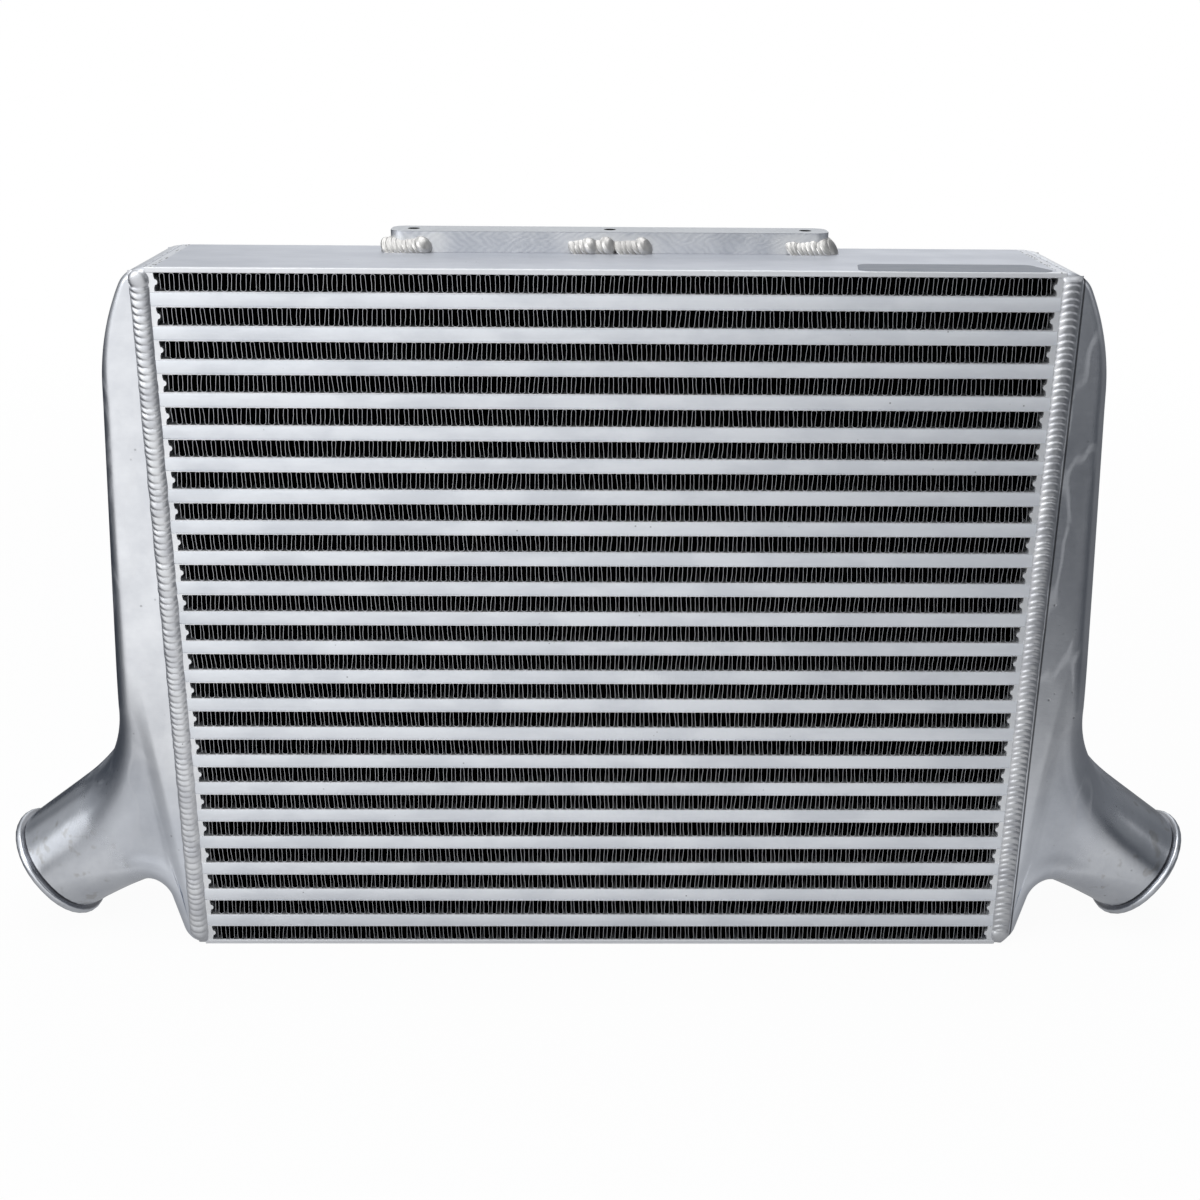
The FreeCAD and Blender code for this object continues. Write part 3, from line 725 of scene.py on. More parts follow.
@dataclass
class Core:
    """Stack of tubes and fin rows between two side plates."""

    plate: float = 3.0
    row_count: int = 23
    row_height: float = 10.0
    sheet: float = 0.5
    bar_height: float = 7.5
    bar_depth: float = 6.0
    bar_recess: float = 0.08
    bar_radius: float = 0.45
    bar_ripple: float = 0.03
    side_bar: float = 5.0
    nose: tuple[Pair, ...] = (
        (0.0, 0.0), (0.0, 1.6), (-0.35, 3.0), (-0.5, 3.4), (-1.2, 3.6), (-1.7, 4.1), (-1.9, 4.7),
        (-1.9, 5.3), (-1.7, 5.9), (-1.2, 6.4), (-0.5, 6.6), (-0.35, 7.0), (0.0, 8.4), (0.0, 10.0))
    fin_setback: float = 0.6
    fin_inset: float = 2.2
    wall_pitch: float = 2.58
    wall_thickness: float = 0.20
    wall_scatter: float = 0.13
    fold_height: float = 1.15
    fold_shares: tuple[float, ...] = (0.06, 0.24, 0.5, 0.76, 0.94)
    pinch: float = 0.16
    wave: float = 1.7
    seed: int = 7

    @property
    def pitch(self) -> float:
        """Rise from one fin row to the next."""
        return self.row_height + self.bar_height + 2 * self.sheet

    def row_base(self, row: int) -> float:
        """Height of the underside of a fin row."""
        return self.plate + row * self.pitch

    def build(self) -> None:
        """Make and dress every piece of the core."""
        for node in ("bottom_side_plate", "top_side_plate"):
            edged(node, PLATE_FINISH, 0.5)
        dress_node("tube_plates", SHEET_FINISH)
        for tube in range(1, self.row_count):
            dress_node(f"turbulator_{tube:02d}", TURBULATOR_FINISH)
        for face in Face:
            self.tube_bars(face)
        for side in Side:
            self.side_bars(side)
        source = np.random.default_rng(self.seed)
        for row in range(self.row_count):
            self.fin_row(row, source)

    def tube_bars(self, face: Face) -> None:
        """Bars of one face, with rounded edges and a face a hair behind the sheets.

        Args:
            face: front or rear.
        """
        shape = Shape()
        turns = np.linspace(0, math.pi / 2, 4)
        stations = np.linspace(-HALF_WIDTH, HALF_WIDTH, 41)
        inner = HALF_DEPTH - self.bar_depth
        middle = HALF_DEPTH - self.bar_recess - self.bar_radius
        short, long = self.bar_radius * np.sin(turns), self.bar_radius * np.cos(turns)
        for tube in range(self.row_count - 1):
            low = self.row_base(tube) + self.row_height + self.sheet
            high = low + self.bar_height
            lower = np.column_stack([middle + short, low + self.bar_radius - long])
            upper = np.column_stack([middle + long, high - self.bar_radius + short])
            section = np.vstack([[[inner, low]], lower, upper, [[inner, high]]])
            ripple = self.bar_ripple * np.sin(stations * 0.05 + tube)
            rings = np.zeros((len(stations), len(section), 3))
            rings[:, :, 0] = stations[:, None]
            rings[:, :, 1] = face.value * section[None, :, 0]
            rings[:, 2:-2, 1] += face.value * (ripple[:, None] - self.bar_ripple)
            rings[:, :, 2] = section[None, :, 1]
            shape.tube(rings)
        name = f"{face.word}_tube_bars"
        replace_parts(shape.piece(name + "_brazed", BAR_FINISH), name)

    def side_bars(self, side: Side) -> None:
        """Bars at the ends of the fin rows, each with the small nose of its extrusion.

        Args:
            side: left or right end of the core.
        """
        shape = Shape()
        inner = HALF_WIDTH - self.side_bar
        reach = HALF_DEPTH - 0.1
        for row in range(self.row_count):
            base = self.row_base(row)
            nose = [(inner + x, base + z) for x, z in self.nose]
            outline = [(HALF_WIDTH, base), *nose, (HALF_WIDTH, base + self.row_height)]
            rings = [[(side.value * x, y, z) for x, z in outline] for y in (-reach, reach)]
            shape.tube(np.array(rings))
        name = f"{side.word}_side_bars"
        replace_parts(shape.piece(name + "_nosed", SHEET_FINISH), name)

    def fin_line(self, row: int, reach: float, source: np.random.Generator) -> Points:
        """Middle line of a folded strip in the XZ plane.

        Args:
            row: number of the row from the bottom, from 0.
            reach: half the length of the strip.
            source: random numbers.

        Returns:
            Points as (x, z).
        """
        base = self.row_base(row)
        walls = int(2 * reach / self.wall_pitch)
        walls -= walls % 2
        numbers = np.arange(walls)
        centres = np.linspace(-reach + 0.9, reach - 0.9, walls)
        centres += source.normal(0, self.wall_scatter, walls)
        centres += np.where(numbers % 2 == 0, self.pinch, -self.pinch)
        lean = source.normal(0, self.wall_scatter, walls)
        lean += 0.22 * np.sin(numbers * 0.09 + row * 1.7)
        low, high = base + 0.05, base + self.row_height - 0.05
        middle: list[Pair] = []
        for index, (centre, tilt) in enumerate(zip(centres, lean)):
            bottom, top = centre - tilt, centre + tilt
            bow = source.normal(0, 0.10)
            wall = [(bottom, low + self.fold_height), (centre + bow, (low + high) / 2),
                    (top, high - self.fold_height)]
            rising = index % 2 == 0
            middle += wall if rising else wall[::-1]
            if index + 1 < walls:
                here = top if rising else bottom
                gap = centres[index + 1] + lean[index + 1] * (1 if rising else -1) - here
                for share in self.fold_shares:
                    bend = 1 - math.sqrt(1 - (2 * share - 1) ** 2)
                    drop = self.fold_height * bend + self.wall_thickness / 2
                    middle.append((here + gap * share, high - drop if rising else low + drop))
        return np.array(middle)

    def fin_row(self, row: int, source: np.random.Generator) -> None:
        """One folded strip at its real pitch, waved from front to rear.

        Args:
            row: number of the row from the bottom, from 0.
            source: random numbers.
        """
        base = self.row_base(row)
        reach = HALF_WIDTH - self.side_bar - self.fin_inset
        line = self.fin_line(row, reach, source)
        way = np.gradient(line, axis=0)
        way /= np.linalg.norm(way, axis=1, keepdims=True)
        across = np.column_stack([-way[:, 1], way[:, 0]]) * self.wall_thickness / 2
        edges = line + across, line - across
        for edge in edges:
            edge[:, 1] = np.clip(edge[:, 1], base + 0.02, base + self.row_height - 0.02)
        front = HALF_DEPTH - self.fin_setback
        inner = front * 0.35
        stations = ((-front, 0.0), (-inner, self.wave), (inner, -self.wave), (front, 0.0))
        count = len(line)
        points = []
        for depth, shift in stations:
            for edge in edges:
                moved = np.clip(edge[:, 0] + shift, -reach, reach)
                points.append(np.column_stack([moved, np.full(count, depth), edge[:, 1]]))
        step = np.arange(count - 1)
        faces = []
        for station in range(len(stations) - 1):
            for edge in range(2):
                here = step + (2 * station + edge) * count
                there = here + 2 * count
                faces.append(np.column_stack([here, here + 1, there + 1, there]))
        for station in (0, len(stations) - 1):
            here = step + 2 * station * count
            faces.append(np.column_stack([here, here + 1, here + count + 1, here + count]))
        for end in (0, count - 1):
            for station in range(len(stations) - 1):
                here = 2 * station * count + end
                faces.append(np.array([[here, here + count, here + 3 * count, here + 2 * count]]))
        shape = Shape()
        shape.add(np.vstack(points), np.vstack(faces))
        name = f"outer_fin_{row + 1:02d}"
        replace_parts(shape.piece(name + "_folded", FIN_FINISH, 50.0), name)


# End tanks


class Line:
    """Path in the XZ plane made of straights and arcs, with its outward normals."""

    def __init__(self, start: Pair, outward: int) -> None:
        """Start the path.

        Args:
            start: first point.
            outward: 1 if outside is to the left of the way, -1 if to the right.
        """
        self.points = [np.array(start, float)]
        self.outward = outward

    def straight(self, end: Points) -> None:
        """Go straight to a point."""
        start = self.points[-1]
        count = max(2, int(np.linalg.norm(end - start)))
        self.points += [start + (end - start) * share for share in np.linspace(0, 1, count + 1)[1:]]

    def arc(self, centre: Points, end: Points, step: float = 0.7) -> None:
        """Go round a centre, the short way, to a point.

        Args:
            centre: centre of the arc.
            end: last point.
            step: distance between samples.
        """
        first, last = self.points[-1] - centre, end - centre
        radius = np.linalg.norm(first)
        start = math.atan2(first[1], first[0])
        turn = math.atan2(last[1], last[0]) - start
        turn = (turn + math.pi) % (2 * math.pi) - math.pi
        count = max(3, int(abs(turn) * radius / step))
        for angle in np.linspace(start, start + turn, count + 1)[1:]:
            self.points.append(centre + radius * np.array([math.cos(angle), math.sin(angle)]))

    def finish(self) -> None:
        """Work out lengths and normals along the path."""
        self.table = np.array(self.points)
        gaps = np.linalg.norm(np.diff(self.table, axis=0), axis=1)
        self.lengths = np.concatenate([[0], np.cumsum(gaps)])
        way = np.gradient(self.table, self.lengths, axis=0)
        self.normals = self.outward * np.column_stack([-way[:, 1], way[:, 0]])

    def length_at(self, point: Points) -> float:
        """Length along the path at the sample nearest to a point."""
        return float(self.lengths[np.argmin(np.linalg.norm(self.table - point, axis=1))])

    def at(self, lengths: np.ndarray) -> tuple[Points, Points]:
        """Points and unit normals at some distances from the start."""
        point, normal = (
            np.column_stack([np.interp(lengths, self.lengths, values[:, k]) for k in (0, 1)])
            for values in (self.table, self.normals))
        return point, normal / np.linalg.norm(normal, axis=1, keepdims=True)


def heading(angle: float) -> Points:
    """Unit direction in the XZ plane, in degrees above +X."""
    return np.array([math.cos(math.radians(angle)), math.sin(math.radians(angle))])


def meeting(start: Points, way: Points, other: Points, other_way: Points) -> Points:
    """Point where two lines cross, each given by a point and its direction."""
    gap = other - start
    spread = way[0] * other_way[1] - way[1] * other_way[0]
    return start + way * (gap[0] * other_way[1] - gap[1] * other_way[0]) / spread


def rounding(before: Points, corner: Points, after: Points,
             radius: float) -> tuple[Points, Points, Points]:
    """Start, centre and end of the arc that rounds a corner.

    Args:
        before: a point on the way in.
        corner: the corner.
        after: a point on the way out.
        radius: radius of the arc.

    Returns:
        Start, centre and end.
    """
    back = (before - corner) / np.linalg.norm(before - corner)
    ahead = (after - corner) / np.linalg.norm(after - corner)
    half = math.acos(float(np.clip(back @ ahead, -1, 1))) / 2
    reach = radius / math.tan(half)
    inward = (back + ahead) / np.linalg.norm(back + ahead)
    return corner + back * reach, corner + inward * radius / math.sin(half), corner + ahead * reach


def smooth(values: np.ndarray) -> np.ndarray:
    """Smooth step of values that are cut to 0 to 1."""
    cut = np.clip(values, 0, 1)
    return cut * cut * (3 - 2 * cut)


@dataclass
class EndTank:
    """Cast tank: flat-sided shell that narrows to a round outlet with a rolled lip."""

    side: Side
    wall: float = 3.5
    tight: float = 17.0
    turn: float = 64.0
    wide: float = 150.0
    lean: float = 3.32
    throat: float = 90.0
    sole: float = 10.5
    foot_lean: float = 17.0
    foot_round: float = 14.0
    arch: float = 12.0
    stub: float = 35.0
    reach: float = 102.5
    rim_height: float = 33.0
    tilt: float = 36.0
    edge: float = 3.0
    lip_start: float = 8.0
    crease: Pair = (255.0, 0.11)
    dish_left: float = 2.3
    dish_right: float = 1.2
    row_step: float = 4.6
    flat_cells: int = 16
    arc_cells: int = 9
    across_cells: int = 8
    lip: tuple[Pair, ...] = (
        (-6.6, 35.0), (-6.1, 34.5), (-5.6, 33.8), (-5.25, 34.3), (-5.05, 36.0), (-4.8, 37.0),
        (-4.2, 37.7), (-3.2, 37.97), (-2.0, 37.95), (-1.0, 37.5), (-0.35, 36.7), (-0.02, 35.6),
        (-0.02, 33.8), (-0.4, 32.7), (-1.1, 31.9), (-2.4, 31.5))

    def __post_init__(self) -> None:
        """Lay out the outer and the lower path."""
        self.axis = heading(-self.tilt)
        self.up = heading(90 - self.tilt)
        self.rim = np.array([HALF_WIDTH + self.reach, self.rim_height])
        self.back = self.outer_line()
        self.under = self.under_line()

    def outer_line(self) -> Line:
        """Path from the top of the core over cap, back and throat to the top of the rim."""
        tight_centre = np.array([HALF_WIDTH, CORE_HEIGHT - self.tight])
        turn = 90 - self.turn
        wide_centre = tight_centre - heading(turn) * (self.wide - self.tight)
        cap_end = wide_centre + heading(self.lean) * self.wide
        rim_top = self.rim + self.up * self.stub
        shoulder = meeting(cap_end, heading(self.lean - 90), rim_top, self.axis)
        start, centre, end = rounding(cap_end, shoulder, rim_top, self.throat)
        line = Line((HALF_WIDTH, CORE_HEIGHT), 1)
        line.arc(tight_centre, tight_centre + heading(turn) * self.tight)
        line.arc(wide_centre, cap_end)
        line.straight(start)
        line.arc(centre, end)
        line.straight(rim_top)
        line.finish()
        self.cap_length, self.throat_start, self.throat_end = (
            line.length_at(point) for point in (cap_end, start, end))
        return line

    def under_line(self) -> Line:
        """Path down the core's side, then round the foot and the arch to the bottom of the rim."""
        corner = np.array([HALF_WIDTH, 0.0])
        sole = np.array([HALF_WIDTH + self.sole, 0.0])
        rim_low = self.rim - self.up * self.stub
        notch = meeting(sole, heading(90 - self.foot_lean), rim_low, self.axis)
        toe, toe_centre, shin = rounding(corner, sole, notch, self.foot_round)
        ankle, arch_centre, low = rounding(sole, notch, rim_low, self.arch)
        toe[0] = max(toe[0], HALF_WIDTH + 0.01)
        self.foot_length = CORE_HEIGHT - self.edge
        line = Line((HALF_WIDTH, self.foot_length), -1)
        line.straight(corner)
        line.straight(toe)
        line.arc(toe_centre, shin)
        line.straight(ankle)
        line.arc(arch_centre, low)
        line.straight(rim_low)
        line.finish()
        self.shin, self.ankle, self.arch_low = (
            line.length_at(point) for point in (shin, ankle, low))
        return line

    def half_depth_at(self, points: Points) -> np.ndarray:
        """Half the depth of the tank at points of the XZ plane, before any inward offset.

        Args:
            points: array of (x, z).

        Returns:
            Half depths.
        """
        crease = self.crease[0] + self.crease[1] * points[..., 1]
        share = np.clip((points[..., 0] - crease) / (322.0 - crease), 0, 1)
        fall = 0.25 * smooth(share) + 0.75 * (1 - (1 - share) ** 1.8)
        low = 1 - smooth((points[..., 1] - 118.0) / 75.0)
        return HALF_DEPTH - (HALF_DEPTH - self.stub) * fall * low

    def rows(self) -> tuple[np.ndarray, np.ndarray]:
        """Matched lengths along the outer and the lower path."""
        drop, bend = self.foot_length, self.throat_start
        pairs = np.array([
            (0.0, 0.0), (self.cap_length, drop - 335.0), (bend - 80.0, drop - 120.0),
            (bend - 40.0, drop - 45.0), (bend, drop), (bend + 22.0, self.shin),
            (bend + 37.0, self.ankle), (self.throat_end - 6.0, self.arch_low),
            (self.back.lengths[-1] - self.lip_start, self.under.lengths[-1] - self.lip_start)])
        outer, lower = pairs.T
        total = outer + lower
        marks = [np.arange(0, total[-1], self.row_step), total]
        marks.append(np.interp(np.linspace(0, 40, 30), outer, total))
        marks.append(np.linspace(total[4], total[7], 60))
        marks = np.unique(np.concatenate(marks))
        marks = marks[np.concatenate([[True], np.diff(marks) > 1e-3])]
        return np.interp(marks, total, outer), np.interp(marks, total, lower)

    def radii(self, along: np.ndarray, below: np.ndarray,
              inward: float) -> tuple[np.ndarray, np.ndarray]:
        """Edge radii that grow from the tank's edge to the round stub.

        Args:
            along: lengths along the outer path.
            below: lengths along the lower path.
            inward: how far the surface lies inside the outer one.

        Returns:
            Radii along the outer and along the lower edge.
        """
        start, end, foot = self.throat_start, self.throat_end, self.foot_length
        rim, finish = self.back.lengths[-1], self.under.lengths[-1]
        outer = np.interp(along, [0, 90, start - 75, start, (start + end) / 2, end, rim],
                          [self.edge, 7.0, 8.5, 10.0, 19.0, 29.0, self.stub])
        lower = np.interp(below, [foot, foot + 12, self.ankle, self.arch_low, finish - 18, finish],
                          [self.edge, 4.5, 8.0, 14.0, 30.0, self.stub])
        return np.maximum(outer - inward, 0.6), np.maximum(lower - inward, 0.6)

    def flat_depth(self, flat: Points, shares: np.ndarray, along: np.ndarray,
                   inward: float) -> np.ndarray:
        """Half depths over the flat side, with the shallow bowl between throat and arch.

        Args:
            flat: points of the side as (x, z).
            shares: place of each column from heel to hub, 0 to 1.
            along: lengths of the rows along the outer path.
            inward: how far the surface lies inside the outer one.

        Returns:
            Half depths.
        """
        dip = smooth((along - self.throat_start + 25.0) / 45.0)
        dip = dip * smooth((self.throat_end + 22.0 - along) / 45.0)
        bowl = np.clip((flat[..., 0] - 253.0 - self.crease[1] * flat[..., 1]) / 12.0, 0, 1)
        bowl = bowl * (1 - smooth((shares[None] - 0.55) / 0.45)) * smooth(shares[None] / 0.35)
        dish = self.dish_left if self.side is Side.LEFT else self.dish_right
        return self.half_depth_at(flat) - inward - dish * dip[:, None] * bowl

    def rings(self, inward: float) -> tuple[Points, Points, int]:
        """Open rings over front, back and rear, and the strips that close them below.

        Args:
            inward: how far the surface lies inside the outer one.

        Returns:
            Rings, closing strips and the number of the first closed row.
        """
        along, below = self.rows()
        outer, outer_normal = self.back.at(along)
        lower, lower_normal = self.under.at(below)
        closed = below >= self.foot_length - 1e-6
        first = int(np.argmax(closed))
        lower_normal[first] = (0.0, -1.0)
        outer_round, lower_round = self.radii(along, below, inward)
        outer = outer - outer_normal * inward
        lower = np.where(closed[:, None], lower - lower_normal * inward, lower)
        width = self.half_depth_at(outer - outer_normal * outer_round[:, None]) - inward
        outer_round = np.minimum(outer_round, width - 0.03)
        hub = outer - outer_normal * outer_round[:, None]
        heel = np.where(closed[:, None], lower - lower_normal * lower_round[:, None], lower)
        span = CORE_HEIGHT - 2 * self.edge
        if inward:
            base = inward + lower_round[first]
            heel[:first, 1] = base + (heel[:first, 1] - self.edge) / span * (hub[0, 1] - base)
            heel[:first, 0] = HALF_WIDTH
            heel[first] = (HALF_WIDTH, base)
            lower[first] = (HALF_WIDTH, inward)
        else:
            heel[:first, 1] = self.edge + heel[:first, 1] * span / (CORE_HEIGHT - self.edge)
        heel_width = self.half_depth_at(heel) - inward
        lower_round = np.minimum(lower_round, heel_width - 0.03)
        shares = np.linspace(0, 1, self.flat_cells + 1)
        flat = heel[:, None] + (hub - heel)[:, None] * shares[None, :, None]
        flat_y = self.flat_depth(flat, shares, along, inward)
        turns = np.linspace(0, math.pi / 2, self.arc_cells + 1)[1:]
        rounded = (outer_normal * outer_round[:, None])[:, None]
        arc = hub[:, None] + rounded * np.sin(turns)[None, :, None]
        outer_flat = (width - outer_round)[:, None]
        arc_y = outer_flat + outer_round[:, None] * np.cos(turns)[None]
        spread = np.linspace(-1, 1, self.across_cells + 1)[1:-1]
        level = np.repeat(outer[:, None], len(spread), axis=1)
        half = np.concatenate([flat, arc], axis=1)
        half_y = np.concatenate([flat_y, arc_y], axis=1)
        ring = self.stacked([half, level, half[:, ::-1]],
                            [-half_y, outer_flat * spread[None], half_y[:, ::-1]])
        turns = np.concatenate([[0], turns])
        close = lower_normal * lower_round[:, None]
        under = heel[:, None] + close[:, None] * np.sin(turns)[None, :, None]
        lower_flat = (heel_width - lower_round)[:, None]
        under_y = lower_flat + lower_round[:, None] * np.cos(turns)[None]
        floor = np.repeat(lower[:, None], len(spread), axis=1)
        strip = self.stacked([under, floor, under[:, ::-1]],
                             [under_y, -lower_flat * spread[None], -under_y[:, ::-1]])
        return ring, strip[first:], first

    @staticmethod
    def stacked(planes: list[Points], depths: list[np.ndarray]) -> Points:
        """Points in space from blocks of (x, z) and of y, side by side."""
        plane, depth = np.concatenate(planes, axis=1), np.concatenate(depths, axis=1)
        return np.stack([plane[..., 0], depth, plane[..., 1]], axis=-1)

    def build(self) -> None:
        """Make the casting and put it in place of its node."""
        shape = Shape()
        outer, outer_strip, first = self.rings(0.0)
        inner, inner_strip, _ = self.rings(self.wall)
        for net in (outer, outer_strip, inner, inner_strip):
            shape.grid(net)
        centre = self.rim - self.axis * self.lip_start
        last, bore = (np.concatenate([ring[-1], strip[-1][1:-1]])
                      for ring, strip in ((outer, outer_strip), (inner, inner_strip)))
        offset = last - np.array([centre[0], 0.0, centre[1]])
        loops = [last]
        for travel, radius in self.lip:
            middle = self.rim + self.axis * travel
            loops.append(np.array([middle[0], 0.0, middle[1]]) + offset * (radius / self.stub))
        shape.grid(np.array([*loops, bore]), wrap=True)
        shape.grid(np.stack([outer[0], inner[0]]))
        shape.grid(np.stack([outer_strip[0], inner_strip[0]]))
        for column in (0, -1):
            shape.grid(np.stack([outer[:first + 1, column], inner[:first + 1, column]]))
        for block in shape.points:
            block[:, 0] *= self.side.value
        name = f"{self.side.word}_end_tank"
        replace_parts(shape.piece(name + "_cast", CAST_FINISH, 40.0, 0.004), name)


# Weld beads


@dataclass
class CornerBead:
    """Long bead with overlapping ripples along one upright corner between core and tank."""

    side: Side
    face: Face
    seed: int
    centre: float = 253.15
    half_bead: float = 5.6
    crown: float = 1.8
    highest: float = 2.379
    sunk: float = -0.25
    low: float = 1.2
    high: float = 421.8
    step: float = 0.52
    columns: int = 22
    ripple: float = 3.9
    arc_radius: float = 6.1
    ball_radius: float = 5.5

    def heights(self) -> tuple[np.ndarray, np.ndarray, np.ndarray]:
        """Places across and along the bead, and its height there."""
        source = np.random.default_rng(self.seed)
        along = np.arange(self.low, self.high, self.step)
        ripples = int((self.high - self.low) / self.ripple * 1.3)
        starts = self.low - 8 + np.cumsum(source.uniform(0.82, 1.2, ripples) * self.ripple)
        rise = source.uniform(0.62, 0.95, len(starts))
        swell = source.uniform(-0.25, 0.22, len(starts))
        travel = along if self.side is Side.LEFT else self.low + self.high - along
        share = np.linspace(-1, 1, self.columns)
        share = np.sign(share) * np.abs(share) ** 0.85
        near = np.interp(travel, starts, swell)
        narrow = (self.half_bead - 3.0) * (1 - smooth((along - self.low) / 7.0))
        wide = (self.half_bead + near - narrow)[:, None] * share[None]
        across = wide - narrow[:, None] * 0.8
        bow = np.sqrt(np.maximum(self.arc_radius ** 2 - wide ** 2, 0.3))
        reach = travel[:, None] + bow * 0.80
        index = np.clip(np.searchsorted(starts, reach) - 1, 0, len(starts) - 2)
        phase = (reach - starts[index]) / (starts[index + 1] - starts[index])
        wave = rise[index] * ((1 - np.exp(-phase / 0.09)) * (1 - phase ** 1.7) - 0.35)
        crown = self.crown * (1 - np.abs(share) ** 2.5)[None] + near[:, None] * 0.25
        height = crown + wave * (1 - np.abs(share) ** 6)[None]
        height += source.normal(0, 0.012, reach.shape)
        height = self.ends(height, across, travel)
        height[:, 0] = height[:, -1] = self.sunk
        return across, along, np.clip(height, self.sunk, self.highest)

    def ends(self, height: np.ndarray, across: np.ndarray, travel: np.ndarray) -> np.ndarray:
        """Round off both ends: a ball where the bead stopped, a thin start.

        Args:
            height: height field.
            across: places across the bead.
            travel: places along it, in the direction of welding.

        Returns:
            The height field with its ends.
        """
        way = travel[:, None]
        stop = self.high - 5.6
        far = np.hypot(across, way - stop) / self.ball_radius
        ball = np.where(far < 1, 2.38 * np.sqrt(np.maximum(1 - far ** 2.6, 0.0)), -0.2)
        beyond = smooth((way - (stop - 4.4)) / 1.2)
        height = height * (1 - beyond) + ball * beyond
        begin = smooth((way - self.low) / 4.0)
        return height * begin - 0.2 * (1 - begin)

    def add_to(self, shape: Shape) -> None:
        """Add the bead to the piece of its side.

        Args:
            shape: piece to add it to.
        """
        across, along, height = self.heights()
        points = np.zeros((*height.shape, 3))
        points[..., 0] = self.side.value * (self.centre + across)
        points[..., 1] = self.face.value * (HALF_DEPTH + height)
        points[..., 2] = along[:, None]
        shape.grid(points, wrap=True)


@dataclass
class Dimes:
    """Run of overlapping rounded weld pools that can end in a ball."""

    start: Triple
    end: Triple
    count: int
    turn: float
    lean: float = -36.0
    ball: bool = False
    size: Triple = (5.0, 2.1, 6.5)
    ball_size: Triple = (5.3, 3.6, 6.3)
    sides: int = 36
    rows: int = 23
    lowest: float = 422.95
    rearmost: float = 42.4

    def add_to(self, shape: Shape, source: np.random.Generator) -> None:
        """Add the run to a piece.

        Args:
            shape: piece to add it to.
            source: random numbers.
        """
        start, end = np.array(self.start), np.array(self.end)
        for number, share in enumerate(np.linspace(0, 1, self.count)):
            last = self.ball and number == self.count - 1
            size = np.array(self.ball_size if last else self.size) * source.uniform(0.96, 1.05, 3)
            place = start + (end - start) * share + source.normal(0, 0.12, 3)
            self.pool(shape, place, size, self.lean + source.normal(0, 3))

    def pool(self, shape: Shape, place: Points, size: np.ndarray, lean: float) -> None:
        """Add one squashed, tilted ball.

        Args:
            shape: piece to add it to.
            place: its centre.
            size: its half sizes.
            lean: tilt about the bar's length, in degrees.
        """
        around = np.linspace(0, 2 * math.pi, self.sides + 1)[:-1]
        over = np.linspace(0.02, math.pi - 0.02, self.rows)
        rings = 1 + 0.05 * np.sin(over * 2) ** 2 * np.sin(over * 18)
        x = (np.sin(over) * rings)[:, None] * np.cos(around)[None] * size[0]
        z = (np.sin(over) * rings)[:, None] * np.sin(around)[None] * size[2]
        y = -(np.cos(over) * rings)[:, None] * np.ones(self.sides)[None] * size[1]
        turned = (Matrix.Rotation(math.radians(self.turn), 3, "Z")
                  @ Matrix.Rotation(math.radians(lean), 3, "X"))
        points = np.stack([x, y, z], axis=-1) @ np.array(turned).T + place
        points[..., 2] = np.maximum(points[..., 2], self.lowest)
        points[..., 1] = np.minimum(points[..., 1], self.rearmost)
        shape.tube(points)


@dataclass
class Welds:
    """All weld beads."""

    front: float = 18.9
    seed: int = 5

    def build(self) -> None:
        """Make the corner beads and the beads of the mounting bar."""
        for number, side in enumerate(Side):
            shape = Shape()
            for turn, face in enumerate(Face):
                CornerBead(side, face, 40 + 10 * number + turn).add_to(shape)
            name = f"{side.word}_tank_weld"
            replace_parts(shape.piece(name + "_rippled", WELD_FINISH, 60.0), name)
        self.bar_beads()

    def bar_beads(self) -> None:
        """Beads at both ends and in the middle of the mounting bar's front edge."""
        source = np.random.default_rng(self.seed)
        y, z = self.front, CORE_HEIGHT + 3.0 + 0.4
        runs = (
            Dimes((-125.5, y + 17.0, z - 1.2), (-126.0, y + 3.0, z - 0.6), 6, -62.0, -34.0),
            Dimes((-125.0, y + 0.5, z - 0.6), (-105.0, y, z + 0.8), 8, 32.0, ball=True),
            Dimes((-17.0, y, z - 0.4), (-8.8, y, z + 0.8), 4, 32.0, ball=True),
            Dimes((-4.4, y, z + 0.2), (1.2, y, z + 1.0), 3, 32.0, ball=True),
            Dimes((9.5, y, z - 0.2), (22.0, y, z + 0.8), 5, 32.0, ball=True),
            Dimes((108.5, y, z - 0.3), (127.5, y + 0.5, z + 0.8), 8, 30.0),
            Dimes((130.5, y + 2.0, z + 0.1), (131.0, y + 17.0, z - 1.0), 6, 50.0, -34.0),
        )
        shape = Shape()
        for run in runs:
            run.add_to(shape, source)
        beads = shape.piece("mounting_bar_welds_rippled", BAR_WELD_SHADED_FINISH, 60.0)
        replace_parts(beads, "mounting_bar_welds")


# Mounting bar and label


@dataclass
class MountingBar:
    """Milled bar with tapped holes."""

    holes: int = 3
    bore: float = 3.4
    thread_depth: float = 0.45
    thread_pitch: float = 1.25
    sides: int = 24

    def build(self) -> None:
        """Dress the bar and cut its threads."""
        edged("mounting_bar", MILLED_FINISH, 0.8)
        shape = Shape()
        turns = int((BAR_HEIGHT - 1.4) / self.thread_pitch)
        angle = np.arange(turns * self.sides + 1) / self.sides * 2 * math.pi
        rise = CORE_HEIGHT + 0.2 + angle / (2 * math.pi) * self.thread_pitch
        flanks = ((self.bore, 0.0), (self.bore - self.thread_depth, 0.5), (self.bore, 1.0))
        for hole in range(self.holes):
            x = BAR_CENTRE[0] + (hole - (self.holes - 1) / 2) * BAR_SPACING
            shape.grid(np.stack([
                np.column_stack([x + radius * np.cos(angle), BAR_CENTRE[1] + radius * np.sin(angle),
                                 rise + lift * self.thread_pitch]) for radius, lift in flanks]))
        shape.piece("bar_threads", MILLED_FINISH, 30.0)


